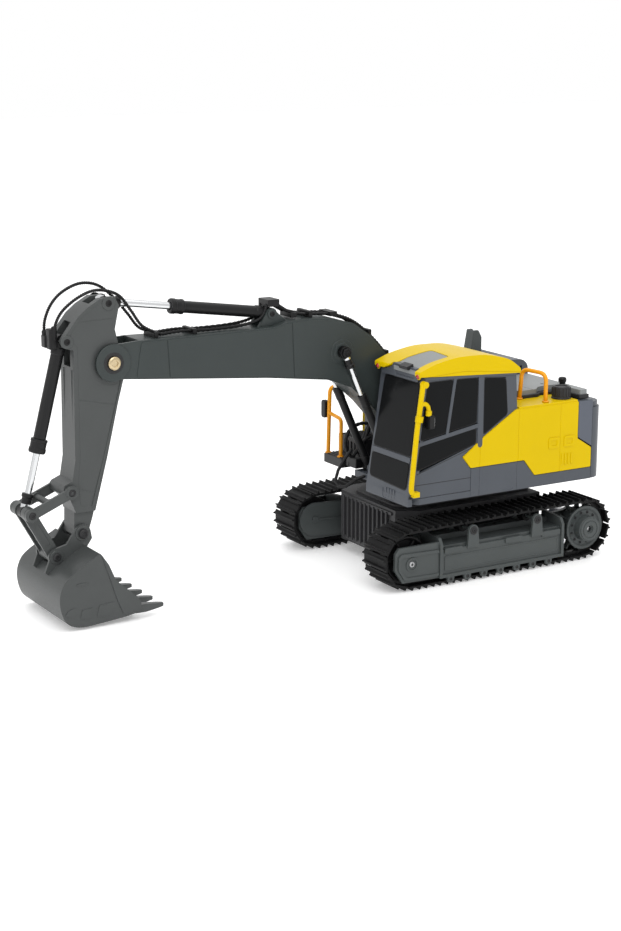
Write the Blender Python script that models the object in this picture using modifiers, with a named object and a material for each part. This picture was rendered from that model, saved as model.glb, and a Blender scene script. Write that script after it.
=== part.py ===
"""Tracked excavator model with a working swing, boom, arm, bucket linkage and tracks.

Lengths are in millimetres and MM turns them into Blender's metres. A place is given as
(x, ahead, up): x grows towards the machine's left, where the cab is, ahead grows from the
swing axis towards the bucket, and up grows from the ground. The world has +Y to the rear.
"""

import math

import bpy
import bmesh
from mathutils import Matrix, Vector

MM = 0.001
GAP = 0.3

# Driving dimensions
BOX_CENTRE_AHEAD = 111.3
HALF_WIDTH = 77.5
FRAME_BOTTOM = 63.3
DECK_TOP = 125.0
SKIN = 2.4

IDLER_AXLE = (71.0, 23.4)
SPROCKET_AXLE = (-92.7, 24.5)
IDLER_RADIUS = 17.3
SPROCKET_RIM = 17.2
TOOTH_TIP = 20.4
IDLER_ROLL = 17.6
SPROCKET_ROLL = 18.7
CHAIN_HEIGHT = 2.4
CHAIN_REACH = (5.0, 9.0)
TOOTH_COUNT = 12
GROUSER = 2.0
SHOE_THICKNESS = 1.4
LINK_PITCH = 12.3
SHOE_X = (50.3, 79.8)
TRACK_X = 0.5 * (SHOE_X[0] + SHOE_X[1])
ROLLER_COUNT = 7
FIRST_ROLLER_AHEAD = 36.0
LAST_ROLLER_AHEAD = -54.5
ROLLER_UP = 6.0
ROLLER_RADIUS = 2.2
LOBE = 3.3
CARRIER_AHEAD = (16.0, -43.0)
CARRIER_UP = 38.9
PLATE_X = (80.1, 82.3)

BOOM_HALF = 13.5
ARM_HALF = 11.0
BOOM_FOOT = (8.0, 88.0)
ARM_PIVOT = (271.6, 177.4)
BUCKET_PIVOT = (297.0, 60.3)
ROCKER_PIVOT = (305.0, 90.5)
ROD_END_PIVOT = (334.6, 78.4)
LINK_PIVOT = (316.8, 46.2)
BOOM_BARREL_PIN = (44.0, 70.0)
BOOM_ROD_PIN = (88.5, 168.5)
ARM_BARREL_PIN = (143.5, 200.0)
ARM_ROD_PIN = (272.9, 218.1)
BUCKET_BARREL_PIN = (304.2, 194.2)
BOOM_CYLINDER_X = 17.6
BUCKET_HALF = 38.0
PIN_HOLE = 2.3
CLOSED_END = 24.0
HOSE_RADIUS = 1.1
CYLINDER_GLAND = 9.0
EYE_NECK = 6.0
TRUNNION_RADIUS = 1.6
TOP_RAIL_RADIUS = 1.5
PANEL_INNER_X = 75.0
ARC_STEPS = 14
RAIL_RISE = 0.7
GROUSER_FOOT = 1.4
GROUSER_TIP = 0.7
SHOE_JOIN = 1.0
TOOTH_HALF_WIDTH = 2.4
TOOTH_HALF_DEPTH = 0.7
TOOTH_ROOT = 12.0
SPROCKET_DRUM = 14.0
SPROCKET_HUB = 9.8
AXLE_RADIUS = 1.9
WHEEL_BORE = 2.2
FRAME_REAR = -68.5
FRAME_AHEAD = 46.0
RIB_THICKNESS = 2.5
CARRIER_RADIUS = 4.2
CARRIER_BORE = 1.6
CARRIER_X = (61.0, 69.0)
MOTOR_RADIUS = 9.0
CAB_X = (21.4, HALF_WIDTH - 0.2)
GLASS_THICKNESS = 1.2
BUCKET_WALL = 2.2
BUCKET_TOOTH_HALF = 3.2

# Outlines in the side view, as (ahead, up), and hose routes, as (x, ahead, up) or (ahead, up)
SIDE_PANEL = [
    (-23.5, 124.8), (-82.3, 124.8), (-82.3, 96.2), (-95.4, 88.0), (-95.4, 72.4),
    (-42.1, 72.5), (-32.0, 85.3), (16.9, 85.3), (24.0, 94.3), (5.0, 107.7),
]
RIGHT_PANEL = [(11.5, 111.5), (-26, 111.5), (-30, 124.8), (-95.4, 124.8), (-95.4, 72.4), (11.5, 72.4)]
# Each arm hose: its name, its distance from the middle, and places whose x is a share of that distance
ARM_HOSES = (
    ("arm_hose_outer", 5.0, [
        (1.0, 311.5, 205.0), (1.1, 307.5, 215.0), (1.2, 299.0, 224.5), (1.2, 286.0, 230.0),
        (1.2, 273.0, 229.0), (1.1, 261.0, 222.0), (1.0, 251.5, 207.5), (1.0, 243.0, 197.0),
        (1.0, 232.0, 192.9),
    ]),
    ("arm_hose_inner", -5.0, [
        (1.0, 311.5, 205.0), (1.1, 305.0, 212.5), (1.2, 295.0, 221.5), (1.2, 283.0, 226.5),
        (1.2, 272.0, 226.0), (1.2, 262.0, 221.5), (1.1, 253.5, 211.0), (1.0, 245.0, 199.5),
        (1.0, 232.0, 192.9),
    ]),
)
BOOM_HOSE = [
    (140.0, 207.5), (130.0, 201.0), (118.0, 197.6), (95.0, 195.8), (76.0, 189.9),
    (60.5, 178.6), (45.0, 162.2), (30.0, 140.0),
]
BASE_HOSE = [
    (-23.4, 56.0, 84.0), (-26.0, 60.0, 77.0), (-28.5, 65.0, 67.5), (-27.0, 68.5, 60.0),
    (-21.0, 69.0, 56.5), (-14.0, 67.0, 58.0), (-9.0, 61.0, 64.0), (-7.0, 54.4, 66.0),
]

COLOURS = {
    "dark_grey": ((0.075, 0.085, 0.083), 0.45, 0.0),
    "boom_grey": ((0.062, 0.075, 0.073), 0.4, 0.0),
    "warm_grey": ((0.11, 0.115, 0.11), 0.45, 0.0),
    "cab_grey": ((0.12, 0.135, 0.155), 0.4, 0.0),
    "counterweight_grey": ((0.11, 0.12, 0.13), 0.45, 0.0),
    "yellow": ((0.76, 0.56, 0.005), 0.35, 0.0),
    "orange": ((0.85, 0.36, 0.01), 0.4, 0.0),
    "black": ((0.012, 0.012, 0.012), 0.55, 0.0),
    "tinted": ((0.012, 0.013, 0.014), 0.12, 0.0),
    "chrome": ((0.75, 0.75, 0.76), 0.15, 1.0),
    "steel": ((0.45, 0.45, 0.46), 0.3, 1.0),
    "brass": ((0.55, 0.4, 0.16), 0.3, 1.0),
    "board_green": ((0.02, 0.16, 0.05), 0.5, 0.0),
    "battery_blue": ((0.02, 0.07, 0.3), 0.4, 0.0),
}

for leftover in list(bpy.data.objects):
    bpy.data.objects.remove(leftover)
PARTS = bpy.data.collections.new("excavator")
bpy.context.scene.collection.children.link(PARTS)


# Places and directions


def world(x, ahead, up):
    return Vector((x, BOX_CENTRE_AHEAD - ahead, up)) * MM


def between(start, end, share):
    return tuple(a + (b - a) * share for a, b in zip(start, end))


def distance(start, end):
    return math.dist(start, end)


def beyond(start, end, length):
    """The point at this length from start towards end."""
    return between(start, end, length / distance(start, end))


def arc(centre, radius, first, last, steps):
    """Points on an arc in the side view, with angles in degrees counted from ahead towards up."""
    angles = [math.radians(first + (last - first) * step / steps) for step in range(steps + 1)]
    return [(centre[0] + radius * math.cos(a), centre[1] + radius * math.sin(a)) for a in angles]


def inset(outline, width):
    """A polygon with every edge moved inwards, or outwards for a negative width."""
    area = sum(a[0] * b[1] - b[0] * a[1] for a, b in zip(outline, outline[1:] + outline[:1]))
    turn = 1 if area > 0 else -1
    moved = []
    for before, corner, after in zip(outline[-1:] + outline[:-1], outline, outline[1:] + outline[:1]):
        first = (Vector(corner) - Vector(before)).normalized()
        second = (Vector(after) - Vector(corner)).normalized()
        inwards = Vector((-first.y, first.x)) * turn, Vector((-second.y, second.x)) * turn
        bisector = (inwards[0] + inwards[1]).normalized()
        moved.append(tuple(Vector(corner) + bisector * width / max(bisector.dot(inwards[0]), 0.3)))
    return moved


# Shapes. Each returns an object whose mesh is in world coordinates.


def material(name):
    found = bpy.data.materials.get(name)
    if found:
        return found
    colour, roughness, metallic = COLOURS[name]
    made = bpy.data.materials.new(name)
    made.use_nodes = True
    shader = made.node_tree.nodes["Principled BSDF"]
    shader.inputs["Base Color"].default_value = (*colour, 1.0)
    shader.inputs["Roughness"].default_value = roughness
    shader.inputs["Metallic"].default_value = metallic
    return made


def add_mesh(bm, name="shape"):
    mesh = bpy.data.meshes.new(name)
    bmesh.ops.recalc_face_normals(bm, faces=bm.faces)
    if bm.calc_volume(signed=True) < 0:
        bmesh.ops.reverse_faces(bm, faces=bm.faces)
    bm.to_mesh(mesh)
    bm.free()
    shape = bpy.data.objects.new(name, mesh)
    PARTS.objects.link(shape)
    return shape


def block(x, ahead, up):
    """A box between two x, two ahead and two up values."""
    bm = bmesh.new()
    bmesh.ops.create_cube(bm, size=1.0)
    size = [abs(span[1] - span[0]) * MM for span in (x, ahead, up)]
    centre = world(sum(x) / 2, sum(ahead) / 2, sum(up) / 2)
    bm.transform(Matrix.Translation(centre) @ Matrix.Diagonal((*size, 1.0)))
    return add_mesh(bm)


def rod(start, end, radius, sides=12, end_radius=None):
    """A cylinder or cone between two (x, ahead, up) places."""
    first, last = world(*start), world(*end)
    run = last - first
    bm = bmesh.new()
    bmesh.ops.create_cone(
        bm,
        cap_ends=True,
        segments=sides,
        radius1=radius * MM,
        radius2=(radius if end_radius is None else end_radius) * MM,
        depth=run.length,
    )
    turn = Vector((0, 0, 1)).rotation_difference(run).to_matrix().to_4x4()
    bm.transform(Matrix.Translation((first + last) / 2) @ turn)
    return add_mesh(bm)


def across(x, centre, radius, sides=16):
    """A cylinder along x, centred on a side-view point."""
    return rod((x[0], *centre), (x[1], *centre), radius, sides)


def from_curve(curve_data, matrix):
    holder = bpy.data.objects.new("curve", curve_data)
    PARTS.objects.link(holder)
    bpy.context.view_layer.update()
    graph = bpy.context.evaluated_depsgraph_get()
    mesh = bpy.data.meshes.new_from_object(holder.evaluated_get(graph))
    bpy.data.objects.remove(holder)
    bm = bmesh.new()
    bm.from_mesh(mesh)
    bpy.data.meshes.remove(mesh)
    bmesh.ops.remove_doubles(bm, verts=bm.verts, dist=1e-7)
    bm.transform(matrix)
    return add_mesh(bm)


def flat_outline(points, thickness):
    curve = bpy.data.curves.new("outline", "CURVE")
    curve.dimensions = "2D"
    curve.fill_mode = "BOTH"
    curve.extrude = thickness * MM / 2
    spline = curve.splines.new("POLY")
    spline.points.add(len(points) - 1)
    for point, (u, v) in zip(spline.points, points):
        point.co = (u * MM, v * MM, 0.0, 1.0)
    spline.use_cyclic_u = True
    return curve


def side_plate(outline, x):
    """An (ahead, up) outline made solid between two x values."""
    middle = (x[0] + x[1]) / 2
    axes = Matrix(((0, 0, -1, 0), (-1, 0, 0, 0), (0, 1, 0, 0), (0, 0, 0, 1)))
    matrix = Matrix.Translation(world(middle, 0, 0)) @ axes
    return from_curve(flat_outline(outline, abs(x[1] - x[0])), matrix)


def plan_plate(outline, up):
    """An (x, ahead) outline made solid between two heights."""
    middle = (up[0] + up[1]) / 2
    axes = Matrix(((1, 0, 0, 0), (0, -1, 0, 0), (0, 0, -1, 0), (0, 0, 0, 1)))
    matrix = Matrix.Translation(world(0, 0, middle)) @ axes
    return from_curve(flat_outline(outline, abs(up[1] - up[0])), matrix)


def front_plate(outline, ahead):
    """An (x, up) outline made solid between two ahead values."""
    middle = (ahead[0] + ahead[1]) / 2
    axes = Matrix(((1, 0, 0, 0), (0, 0, -1, 0), (0, 1, 0, 0), (0, 0, 0, 1)))
    matrix = Matrix.Translation(world(0, middle, 0)) @ axes
    return from_curve(flat_outline(outline, abs(ahead[1] - ahead[0])), matrix)


def tube(route, radius, sides=8):
    """A round bar through (x, ahead, up) places, with capped ends."""
    curve = bpy.data.curves.new("route", "CURVE")
    curve.dimensions = "3D"
    curve.bevel_depth = radius * MM
    curve.bevel_resolution = sides // 4
    curve.use_fill_caps = True
    spline = curve.splines.new("POLY")
    spline.points.add(len(route) - 1)
    for point, place in zip(spline.points, route):
        point.co = (*world(*place), 1.0)
    return from_curve(curve, Matrix.Identity(4))


def rounded_route(corners, radius, steps=3):
    """The corners of a bar with each inner corner replaced by a bend."""
    route = [corners[0]]
    for before, corner, after in zip(corners, corners[1:], corners[2:]):
        entry = Vector(beyond(corner, before, min(radius, distance(corner, before) * 0.45)))
        leave = Vector(beyond(corner, after, min(radius, distance(corner, after) * 0.45)))
        for step in range(steps + 1):
            t = step / steps
            point = entry * (1 - t) ** 2 + Vector(corner) * 2 * t * (1 - t) + leave * t**2
            route.append(tuple(point))
    return route + [corners[-1]]


def turned(profile, centre, sides=24):
    """A solid of revolution about x through centre. The profile is (x, radius) pairs."""
    curve = bpy.data.meshes.new("profile")
    points = [(radius * MM, 0.0, x * MM) for x, radius in reversed(profile)]
    edges = [(n, n + 1) for n in range(len(points) - 1)]
    curve.from_pydata(points, edges, [])
    spun = bpy.data.objects.new("turned", curve)
    PARTS.objects.link(spun)
    screw = spun.modifiers.new("Screw", "SCREW")
    screw.axis = "Z"
    screw.steps = sides
    screw.render_steps = sides
    screw.use_merge_vertices = True
    screw.merge_threshold = 1e-6
    axes = Matrix(((0, 0, 1, 0), (1, 0, 0, 0), (0, 1, 0, 0), (0, 0, 0, 1)))
    bpy.context.view_layer.update()
    graph = bpy.context.evaluated_depsgraph_get()
    bm = bmesh.new()
    bm.from_mesh(spun.evaluated_get(graph).to_mesh())
    bpy.data.objects.remove(spun)
    bmesh.ops.remove_doubles(bm, verts=bm.verts, dist=1e-7)
    bm.transform(Matrix.Translation(world(0, *centre)) @ axes)
    return add_mesh(bm)


# Building nodes


def bake(shape):
    """Applies the modifiers."""
    bpy.context.view_layer.update()
    graph = bpy.context.evaluated_depsgraph_get()
    mesh = bpy.data.meshes.new_from_object(shape.evaluated_get(graph))
    shape.modifiers.clear()
    shape.data = mesh


def combine(shape, tools, operation):
    for tool in tools:
        step = shape.modifiers.new(operation.title(), "BOOLEAN")
        step.operation = operation
        step.object = tool
        bake(shape)
        bpy.data.objects.remove(tool)


def node(name, colour, shapes, cuts=(), added=(), holes=(), pivot=(0.0, 0.0, 0.0), parent=None):
    """One closed body: shapes less the cuts, then what is added, less the holes. Its origin is at pivot."""
    body, *others = shapes
    combine(body, others, "UNION")
    combine(body, cuts, "DIFFERENCE")
    combine(body, added, "UNION")
    combine(body, holes, "DIFFERENCE")
    body.name = name
    body.data.name = name
    origin = world(*pivot)
    body.data.transform(Matrix.Translation(-origin))
    body.data.materials.clear()
    body.data.materials.append(material(colour))
    body.data.shade_smooth()
    body.data.set_sharp_from_angle(angle=math.radians(35))
    body.location = origin
    if parent:
        body.parent = parent
        body.matrix_parent_inverse = Matrix.Translation(-parent.matrix_world.translation)
    return body


def joint_axis(name, place, parent=None):
    empty = bpy.data.objects.new(name, None)
    empty.empty_display_size = 0.01
    PARTS.objects.link(empty)
    empty.location = world(*place)
    if parent:
        empty.parent = parent
        empty.matrix_parent_inverse = Matrix.Translation(-parent.matrix_world.translation)
    bpy.context.view_layer.update()
    return empty


# Undercarriage


def belt_loop(clearance):
    """The track's side view at this distance outside the surface that rolls on the wheels."""
    idler_radius = IDLER_ROLL + clearance
    sprocket_radius = SPROCKET_ROLL + clearance
    run = distance(IDLER_AXLE, SPROCKET_AXLE)
    lean = math.degrees(math.asin((sprocket_radius - idler_radius) / run))
    slope = math.degrees(math.atan2(SPROCKET_AXLE[1] - IDLER_AXLE[1], run))
    top, bottom = 90 - slope - lean, -90 - slope + lean
    front = arc(IDLER_AXLE, idler_radius, bottom, top, ARC_STEPS)
    rear = arc(SPROCKET_AXLE, sprocket_radius, top, 360 + bottom, ARC_STEPS)
    return front + rear


def shoe_loops():
    """The outlines of the shoes' outer side, with one grouser for each link, and of their inner side."""
    loop = belt_loop(CHAIN_HEIGHT + SHOE_THICKNESS)
    closed = loop + [loop[0]]
    lengths = [distance(a, b) for a, b in zip(closed, closed[1:])]
    total = sum(lengths)
    count = round(total / LINK_PITCH)
    pitch = total / count

    def point_at(along):
        along %= total
        for start, end, length in zip(closed, closed[1:], lengths):
            if along <= length:
                tangent = (Vector(end) - Vector(start)).normalized()
                return Vector(start) + tangent * along, Vector((tangent.y, -tangent.x))
            along -= length
        return Vector(closed[0]), Vector((0.0, -1.0))

    outer, inner = [], []
    half = 0.5 * pitch
    for link in range(count):
        steps = [(-GROUSER_FOOT, 0.0), (-GROUSER_TIP, GROUSER), (GROUSER_TIP, GROUSER), (GROUSER_FOOT, 0.0)]
        steps += [(half - SHOE_JOIN, 0.0), (half + SHOE_JOIN, 0.0)]
        for offset, height in steps:
            point, outward = point_at((link + 0.5) * pitch + offset)
            outer.append(tuple(point + outward * height))
            inner.append(tuple(point - outward * SHOE_THICKNESS))
    return outer, inner


def loop_plate(outer, inner, x):
    """A band between two closed (ahead, up) outlines of equal length, made solid between two x values."""
    bm = bmesh.new()
    near, far = x
    corners = ((near, outer), (far, outer), (far, inner), (near, inner))
    loops = [[bm.verts.new(world(at, *point)) for point in outline] for at, outline in corners]
    for one, two in zip(loops, loops[1:] + loops[:1]):
        for n, corner in enumerate(one):
            following = (n + 1) % len(one)
            bm.faces.new((corner, one[following], two[following], two[n]))
    return add_mesh(bm)


def belt(side, sign):
    """The shoes joined into a loop, with the two rails of the chain inside it."""
    shoes = loop_plate(*shoe_loops(), sided(sign, *SHOE_X))
    near, far = CHAIN_REACH
    outer, inner = belt_loop(CHAIN_HEIGHT + RAIL_RISE), belt_loop(0.0)
    spans = ((TRACK_X - far, TRACK_X - near), (TRACK_X + near, TRACK_X + far))
    rails = [loop_plate(outer, inner, sided(sign, *span)) for span in spans]
    return node(f"{side}_track_belt", "black", [shoes, *rails])


def sided(sign, low, high):
    """An x span on the left for sign 1, and the same span on the right for sign -1."""
    return (low, high) if sign > 0 else (-high, -low)


def track_frame(side, sign):
    """The box between the wheels, the idler yoke, the ribs and the carrier-roller brackets."""
    beam = block(sided(sign, 56, 79), (FRAME_REAR, FRAME_AHEAD), (12.5, 30))
    plate = block(sided(sign, 76, 81), (FRAME_REAR, FRAME_AHEAD), (8.5, 27.5))
    flange = block(sided(sign, 79.9, 82.4), (FRAME_REAR, FRAME_AHEAD), (6.4, 8.9))
    shoulder = block(sided(sign, 54, 64), (-66, 43), (13, 34))
    ribs = []
    for low in (FRAME_AHEAD - RIB_THICKNESS, FRAME_REAR):
        outline = [(57, 10), (76, 10), (76, 6.4), (82.6, 6.4), (82.6, 32), (79.6, 36.5), (57, 38.5)]
        ribs.append(front_plate([(sign * x, up) for x, up in outline], (low, low + RIB_THICKNESS)))
    nose = [(44, 6.9), (77.8, 7.4), (84.5, 17.5), (84.3, 30), (81, 34), (44, 34)]
    yoke = side_plate(nose, sided(sign, 78.5, 81))
    inner_yoke = side_plate(nose, sided(sign, 54.5, 56.7))
    brackets = []
    for place in CARRIER_AHEAD:
        head = arc((place, CARRIER_UP), 4.3, -10, 190, 8)
        outline = [(place - 5.4, 26), (place + 5.4, 26)] + head
        brackets.append(side_plate(outline, sided(sign, *PLATE_X)))
        brackets.append(across(sided(sign, 55, 82), (place, CARRIER_UP), 1.3, 8))
        foot = [(place - 4, 29), (place + 4, 29), (place + 3, CARRIER_UP + 2), (place - 3, CARRIER_UP + 2)]
        brackets.append(side_plate(foot, sided(sign, 54.5, 55.8)))
    lobes = []
    for place in roller_places():
        ear = [(place - LOBE, 8)] + arc((place, ROLLER_UP), LOBE, 180, 360, 6) + [(place + LOBE, 8)]
        lobes.append(side_plate(ear, sided(sign, *PLATE_X)))
    seat_outline = [(-62, 14), (-62, 33)] + arc(SPROCKET_AXLE, 12.0, 60, 300, 12)
    motor_seat = side_plate(seat_outline, sided(sign, 54.5, 58))
    motor_bore = across(sided(sign, 50, 62), SPROCKET_AXLE, 9.3, 20)
    axle = across(sided(sign, 56, 79.5), IDLER_AXLE, AXLE_RADIUS, 12)
    pieces = [beam, plate, flange, shoulder, *ribs, yoke, inner_yoke, *brackets, *lobes]
    return node(f"{side}_track_frame", "dark_grey", pieces, added=[motor_seat, axle], holes=[motor_bore])


def roller_places():
    step = (LAST_ROLLER_AHEAD - FIRST_ROLLER_AHEAD) / (ROLLER_COUNT - 1)
    return [FIRST_ROLLER_AHEAD + step * n for n in range(ROLLER_COUNT)]


def lower_rollers(side, sign):
    """Seven rollers on a shared rail."""
    span = (LAST_ROLLER_AHEAD, FIRST_ROLLER_AHEAD)
    rail = block(sided(sign, 75.5, 78.5), span, (ROLLER_UP - 1.0, ROLLER_UP + 1.0))
    x = sided(sign, 74.6, 79.6)
    rollers = [across(x, (place, ROLLER_UP), ROLLER_RADIUS, 12) for place in roller_places()]
    return node(f"{side}_lower_rollers", "black", [rail, *rollers])


def wheel(sign, profile, centre, sides=24):
    """A solid of revolution whose (x, radius) profile is given for the left side."""
    ordered = profile if sign > 0 else profile[::-1]
    return turned([(sign * x, radius) for x, radius in ordered], centre, sides)


def sprocket(side, sign):
    centre = SPROCKET_AXLE
    inner, outer = TRACK_X - 2, TRACK_X + 12
    profile = [
        (inner, WHEEL_BORE),
        (inner, SPROCKET_DRUM),
        (outer - 2.5, SPROCKET_DRUM),
        (outer - 2.5, SPROCKET_RIM),
        (outer, SPROCKET_RIM),
        (outer, SPROCKET_RIM - 2.0),
        (outer - 1.2, SPROCKET_RIM - 3.6),
        (outer - 1.2, SPROCKET_HUB),
        (outer + 6.0, SPROCKET_HUB),
        (outer + 6.0, WHEEL_BORE),
        (inner, WHEEL_BORE),
    ]
    teeth = []
    for tooth in range(TOOTH_COUNT):
        angle = math.radians(360 * tooth / TOOTH_COUNT)
        width = (-TOOTH_HALF_WIDTH, TOOTH_HALF_WIDTH)
        blade = block(width, (TOOTH_ROOT, TOOTH_TIP), (-TOOTH_HALF_DEPTH, TOOTH_HALF_DEPTH))
        blade.data.transform(Matrix.Translation(-world(0, 0, 0)))
        blade.data.transform(Matrix.Rotation(angle, 4, "X"))
        blade.data.transform(Matrix.Translation(world(sign * (TRACK_X + 1.5), *centre)))
        teeth.append(blade)
    body = [wheel(sign, profile, centre), *teeth]
    return node(f"{side}_sprocket", "dark_grey", body, pivot=(sign * TRACK_X, *centre))


def idler(side, sign):
    profile = [
        (57.0, WHEEL_BORE),
        (57.0, IDLER_RADIUS),
        (75.5, IDLER_RADIUS),
        (75.5, IDLER_RADIUS - 1.5),
        (72.0, IDLER_RADIUS - 3.5),
        (72.0, 6),
        (75.5, 6),
        (75.5, WHEEL_BORE),
        (57.0, WHEEL_BORE),
    ]
    body = [wheel(sign, profile, IDLER_AXLE)]
    return node(f"{side}_idler", "black", body, pivot=(sign * TRACK_X, *IDLER_AXLE))


def carrier_roller(name, sign, ahead):
    near, far = CARRIER_X
    profile = [(near, CARRIER_BORE), (near, CARRIER_RADIUS), (far, CARRIER_RADIUS)]
    profile += [(far, CARRIER_BORE), (near, CARRIER_BORE)]
    roller = wheel(sign, profile, (ahead, CARRIER_UP), 12)
    return node(name, "black", [roller], pivot=(sign * TRACK_X, ahead, CARRIER_UP))


def undercarriage():
    hull = [(-47, -72), (47, -72), (47, 40), (38, 56), (-38, 56), (-47, 40)]
    body = plan_plate(hull, (10, 49))
    post = rod((0, 0, 44), (0, 0, 54), 33, 32)
    legs = [block((-53.7, 53.7), span, (15, 31)) for span in ((20, 38), (-66, -48))]
    hollow = block((-40, 40), (-64, 36), (5, 44))
    bore = rod((0, 0, 30), (0, 0, 70), 10, 24)
    node("carbody", "dark_grey", [body, post, *legs], [hollow, bore])
    ring = rod((0, 0, 54.3), (0, 0, 63.0), 30, 32)
    node("swing_ring", "steel", [ring], [rod((0, 0, 50), (0, 0, 70), 22, 32)])
    for side, sign in (("left", 1), ("right", -1)):
        belt(side, sign)
        track_frame(side, sign)
        lower_rollers(side, sign)
        sprocket(side, sign)
        idler(side, sign)
        for number, ahead in enumerate(CARRIER_AHEAD, 1):
            carrier_roller(f"{side}_carrier_roller_{number}", sign, ahead)
        motor = rod((sign * 40, *SPROCKET_AXLE), (sign * 62.5, *SPROCKET_AXLE), MOTOR_RADIUS, 16)
        shaft = rod((sign * 60, *SPROCKET_AXLE), (sign * 81, *SPROCKET_AXLE), AXLE_RADIUS, 12)
        node(f"{side}_drive_motor", "steel", [motor, shaft])


# Upper structure


def upper_frame():
    base = [(-HALF_WIDTH, -96), (HALF_WIDTH, -96), (HALF_WIDTH, 62), (66, 71.5), (30, 71.5)]
    base += [(21, 66), (21, 54), (-22, 54), (-22, 36), (-HALF_WIDTH, 36)]
    plate = plan_plate(base, (FRAME_BOTTOM, 68))
    brackets = []
    for x in ((-12.9, -9.6), (9.6, 12.9)):
        outline = [(-16, 67), (26, 67), (24, 76)] + arc(BOOM_FOOT, 8, -20, 160, 8) + [(-10, 80)]
        brackets.append(side_plate(outline, x))
        ear = [(32, 66), (54, 66)] + arc(BOOM_BARREL_PIN, 5, -30, 210, 8)
        brackets.append(side_plate(ear, x))
    stubs = [across(x, BOOM_BARREL_PIN, 2.6, 10) for x in ((-14.1, -10), (10, 14.1))]
    holes = [across((-20, 20), BOOM_FOOT, 3.3, 16), rod((0, 0, 60), (0, 0, 80), 8, 24)]
    holes += [block(x, (35, 53), (60, 80)) for x in ((-20.8, -14.2), (14.2, 20.8))]
    holes.append(block((-44, -36), (-82, -78), (60, 70)))
    return node("upper_frame", "cab_grey", [plate, *brackets], added=stubs, holes=holes)


def housing():
    """The engine compartment's shell, open at the bottom."""
    rear = block((-74, 74), (-95.6, -26), (68.3, DECK_TOP - GAP))
    right = block((-74, -17), (-40, 12), (68.3, 112))
    ceiling = DECK_TOP - GAP - SKIN
    rear_hollow = block((-74 + SKIN, 74 - SKIN), (-95.6 + SKIN, -26 - SKIN), (60, ceiling))
    right_hollow = block((-74 + SKIN, -17 - SKIN), (-50, 12 - SKIN), (60, 112 - SKIN))
    strip = block((70, 77.2), (-95.6, -82.8), (97.5, DECK_TOP - GAP))
    flange = block((70, 77.2), (-95.6, -26.5), (68.3, 71.8))
    return node("housing", "cab_grey", [rear, right, strip, flange], [rear_hollow, right_hollow])


def counterweight():
    corner = 12.0
    rear, front = -108.6, -96.3
    plan = [(-HALF_WIDTH, front), (HALF_WIDTH, front)]
    plan += arc((HALF_WIDTH - corner, rear + corner), corner, 0, -90, 5)
    plan += arc((corner - HALF_WIDTH, rear + corner), corner, -90, -180, 5)
    slab = plan_plate(plan, (FRAME_BOTTOM, 122))
    return node("counterweight", "counterweight_grey", [slab])


def engine_hood():
    outline = [(-54, 125.3), (-98, 125.3), (-98, 138), (-93, 143), (-60, 144), (-54, 139)]
    body = side_plate(outline, (-70, -6))
    hollow = block((-67, -9), (-95, -57), (120, 136))
    return node("engine_hood", "cab_grey", [body], [hollow])


def exhaust_stack():
    outline = [(-56, 144.3), (-67, 144.3), (-67, 160), (-64, 165.5), (-59.5, 165.5)]
    return node("exhaust_stack", "dark_grey", [side_plate(outline, (-36, -27))])


def deck_cover():
    outline = [(-2, -36), (40, -36), (48, -46), (48, -62), (42, -68), (42, -84)]
    outline += [(58, -92), (58, -97), (-2, -97)]
    body = plan_plate(outline, (125.3, 131))
    return node("deck_cover", "warm_grey", [body])


def cab():
    """The cab's pillars and lower body as a shell, its tinted glazing and its roof."""
    side = [(71.4, 68.3), (64.5, 110), (58.5, 156.5), (-23, 152), (-25.6, 110), (-25.6, 68.3)]
    inner_x, outer_x = CAB_X
    shell = side_plate(side, CAB_X)
    open_side = [(72.8, 60)] + side[1:-1] + [(-25.6, 60)]
    hollow = side_plate(inset(open_side, SKIN), (inner_x + SKIN, outer_x - SKIN))
    panel_room = side_plate(inset(SIDE_PANEL, -GAP), (70, 90))
    windscreen = [(26, 92), (72.5, 80), (72.5, 151), (27, 151)]
    front_window = front_plate(windscreen, (50, 90))
    door = [(53.5, 152), (62, 87), (12, 103), (11, 152)]
    rear_quarter = [(5.5, 151.5), (5.5, 110.5), (-14.8, 121), (-13.5, 150)]
    side_windows = [side_plate(outline, (70, 90)) for outline in (door, rear_quarter)]
    inner_window = side_plate([(50, 150), (56, 100), (0, 100), (0, 150)], (10, 30))
    rear_window = front_plate([(28, 128), (70, 128), (70, 146), (28, 146)], (-40, -10))
    cuts = [hollow, front_window, *side_windows, inner_window, rear_window, panel_room]
    node("cab_shell", "cab_grey", [shell], cuts)

    margin = SKIN + GAP
    glass_side = inset(open_side, margin)
    glass = side_plate(glass_side, (inner_x + margin, outer_x - margin))
    room = margin + GLASS_THICKNESS
    glass_hollow = side_plate(inset(glass_side, GLASS_THICKNESS), (inner_x + room, outer_x - room))
    below = block((0, 90), (-60, 90), (40, 68.6))
    node("cab_glazing", "tinted", [glass], [glass_hollow, below])

    crown = [(61.5, 156.9), (61.5, 161.5), (50, 166), (30, 169.5), (5, 169)]
    crown += [(-16, 164), (-26, 156), (-26, 152.3)]
    roof = side_plate(crown, (19.8, HALF_WIDTH + 0.8))
    node("cab_roof", "yellow", [roof])

    rail_x = HALF_WIDTH + 2.6
    rail = [(rail_x, 61.5, 151), (rail_x, 66.5, 118), (rail_x, 71, 74), (rail_x - 1.0, 66, 72)]
    stem = [(rail_x, 64.6, 134), (rail_x + 1.0, 60, 137), (rail_x + 1.0, 57.6, 131)]
    node("cab_grab_rail", "yellow", [tube(rounded_route(rail, 5), 1.6), tube(stem, 1.2)])
    mirror = block((rail_x - 1.2, rail_x + 2.4), (53.5, 57.6), (121.5, 129.5))
    node("left_mirror", "black", [mirror])


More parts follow.
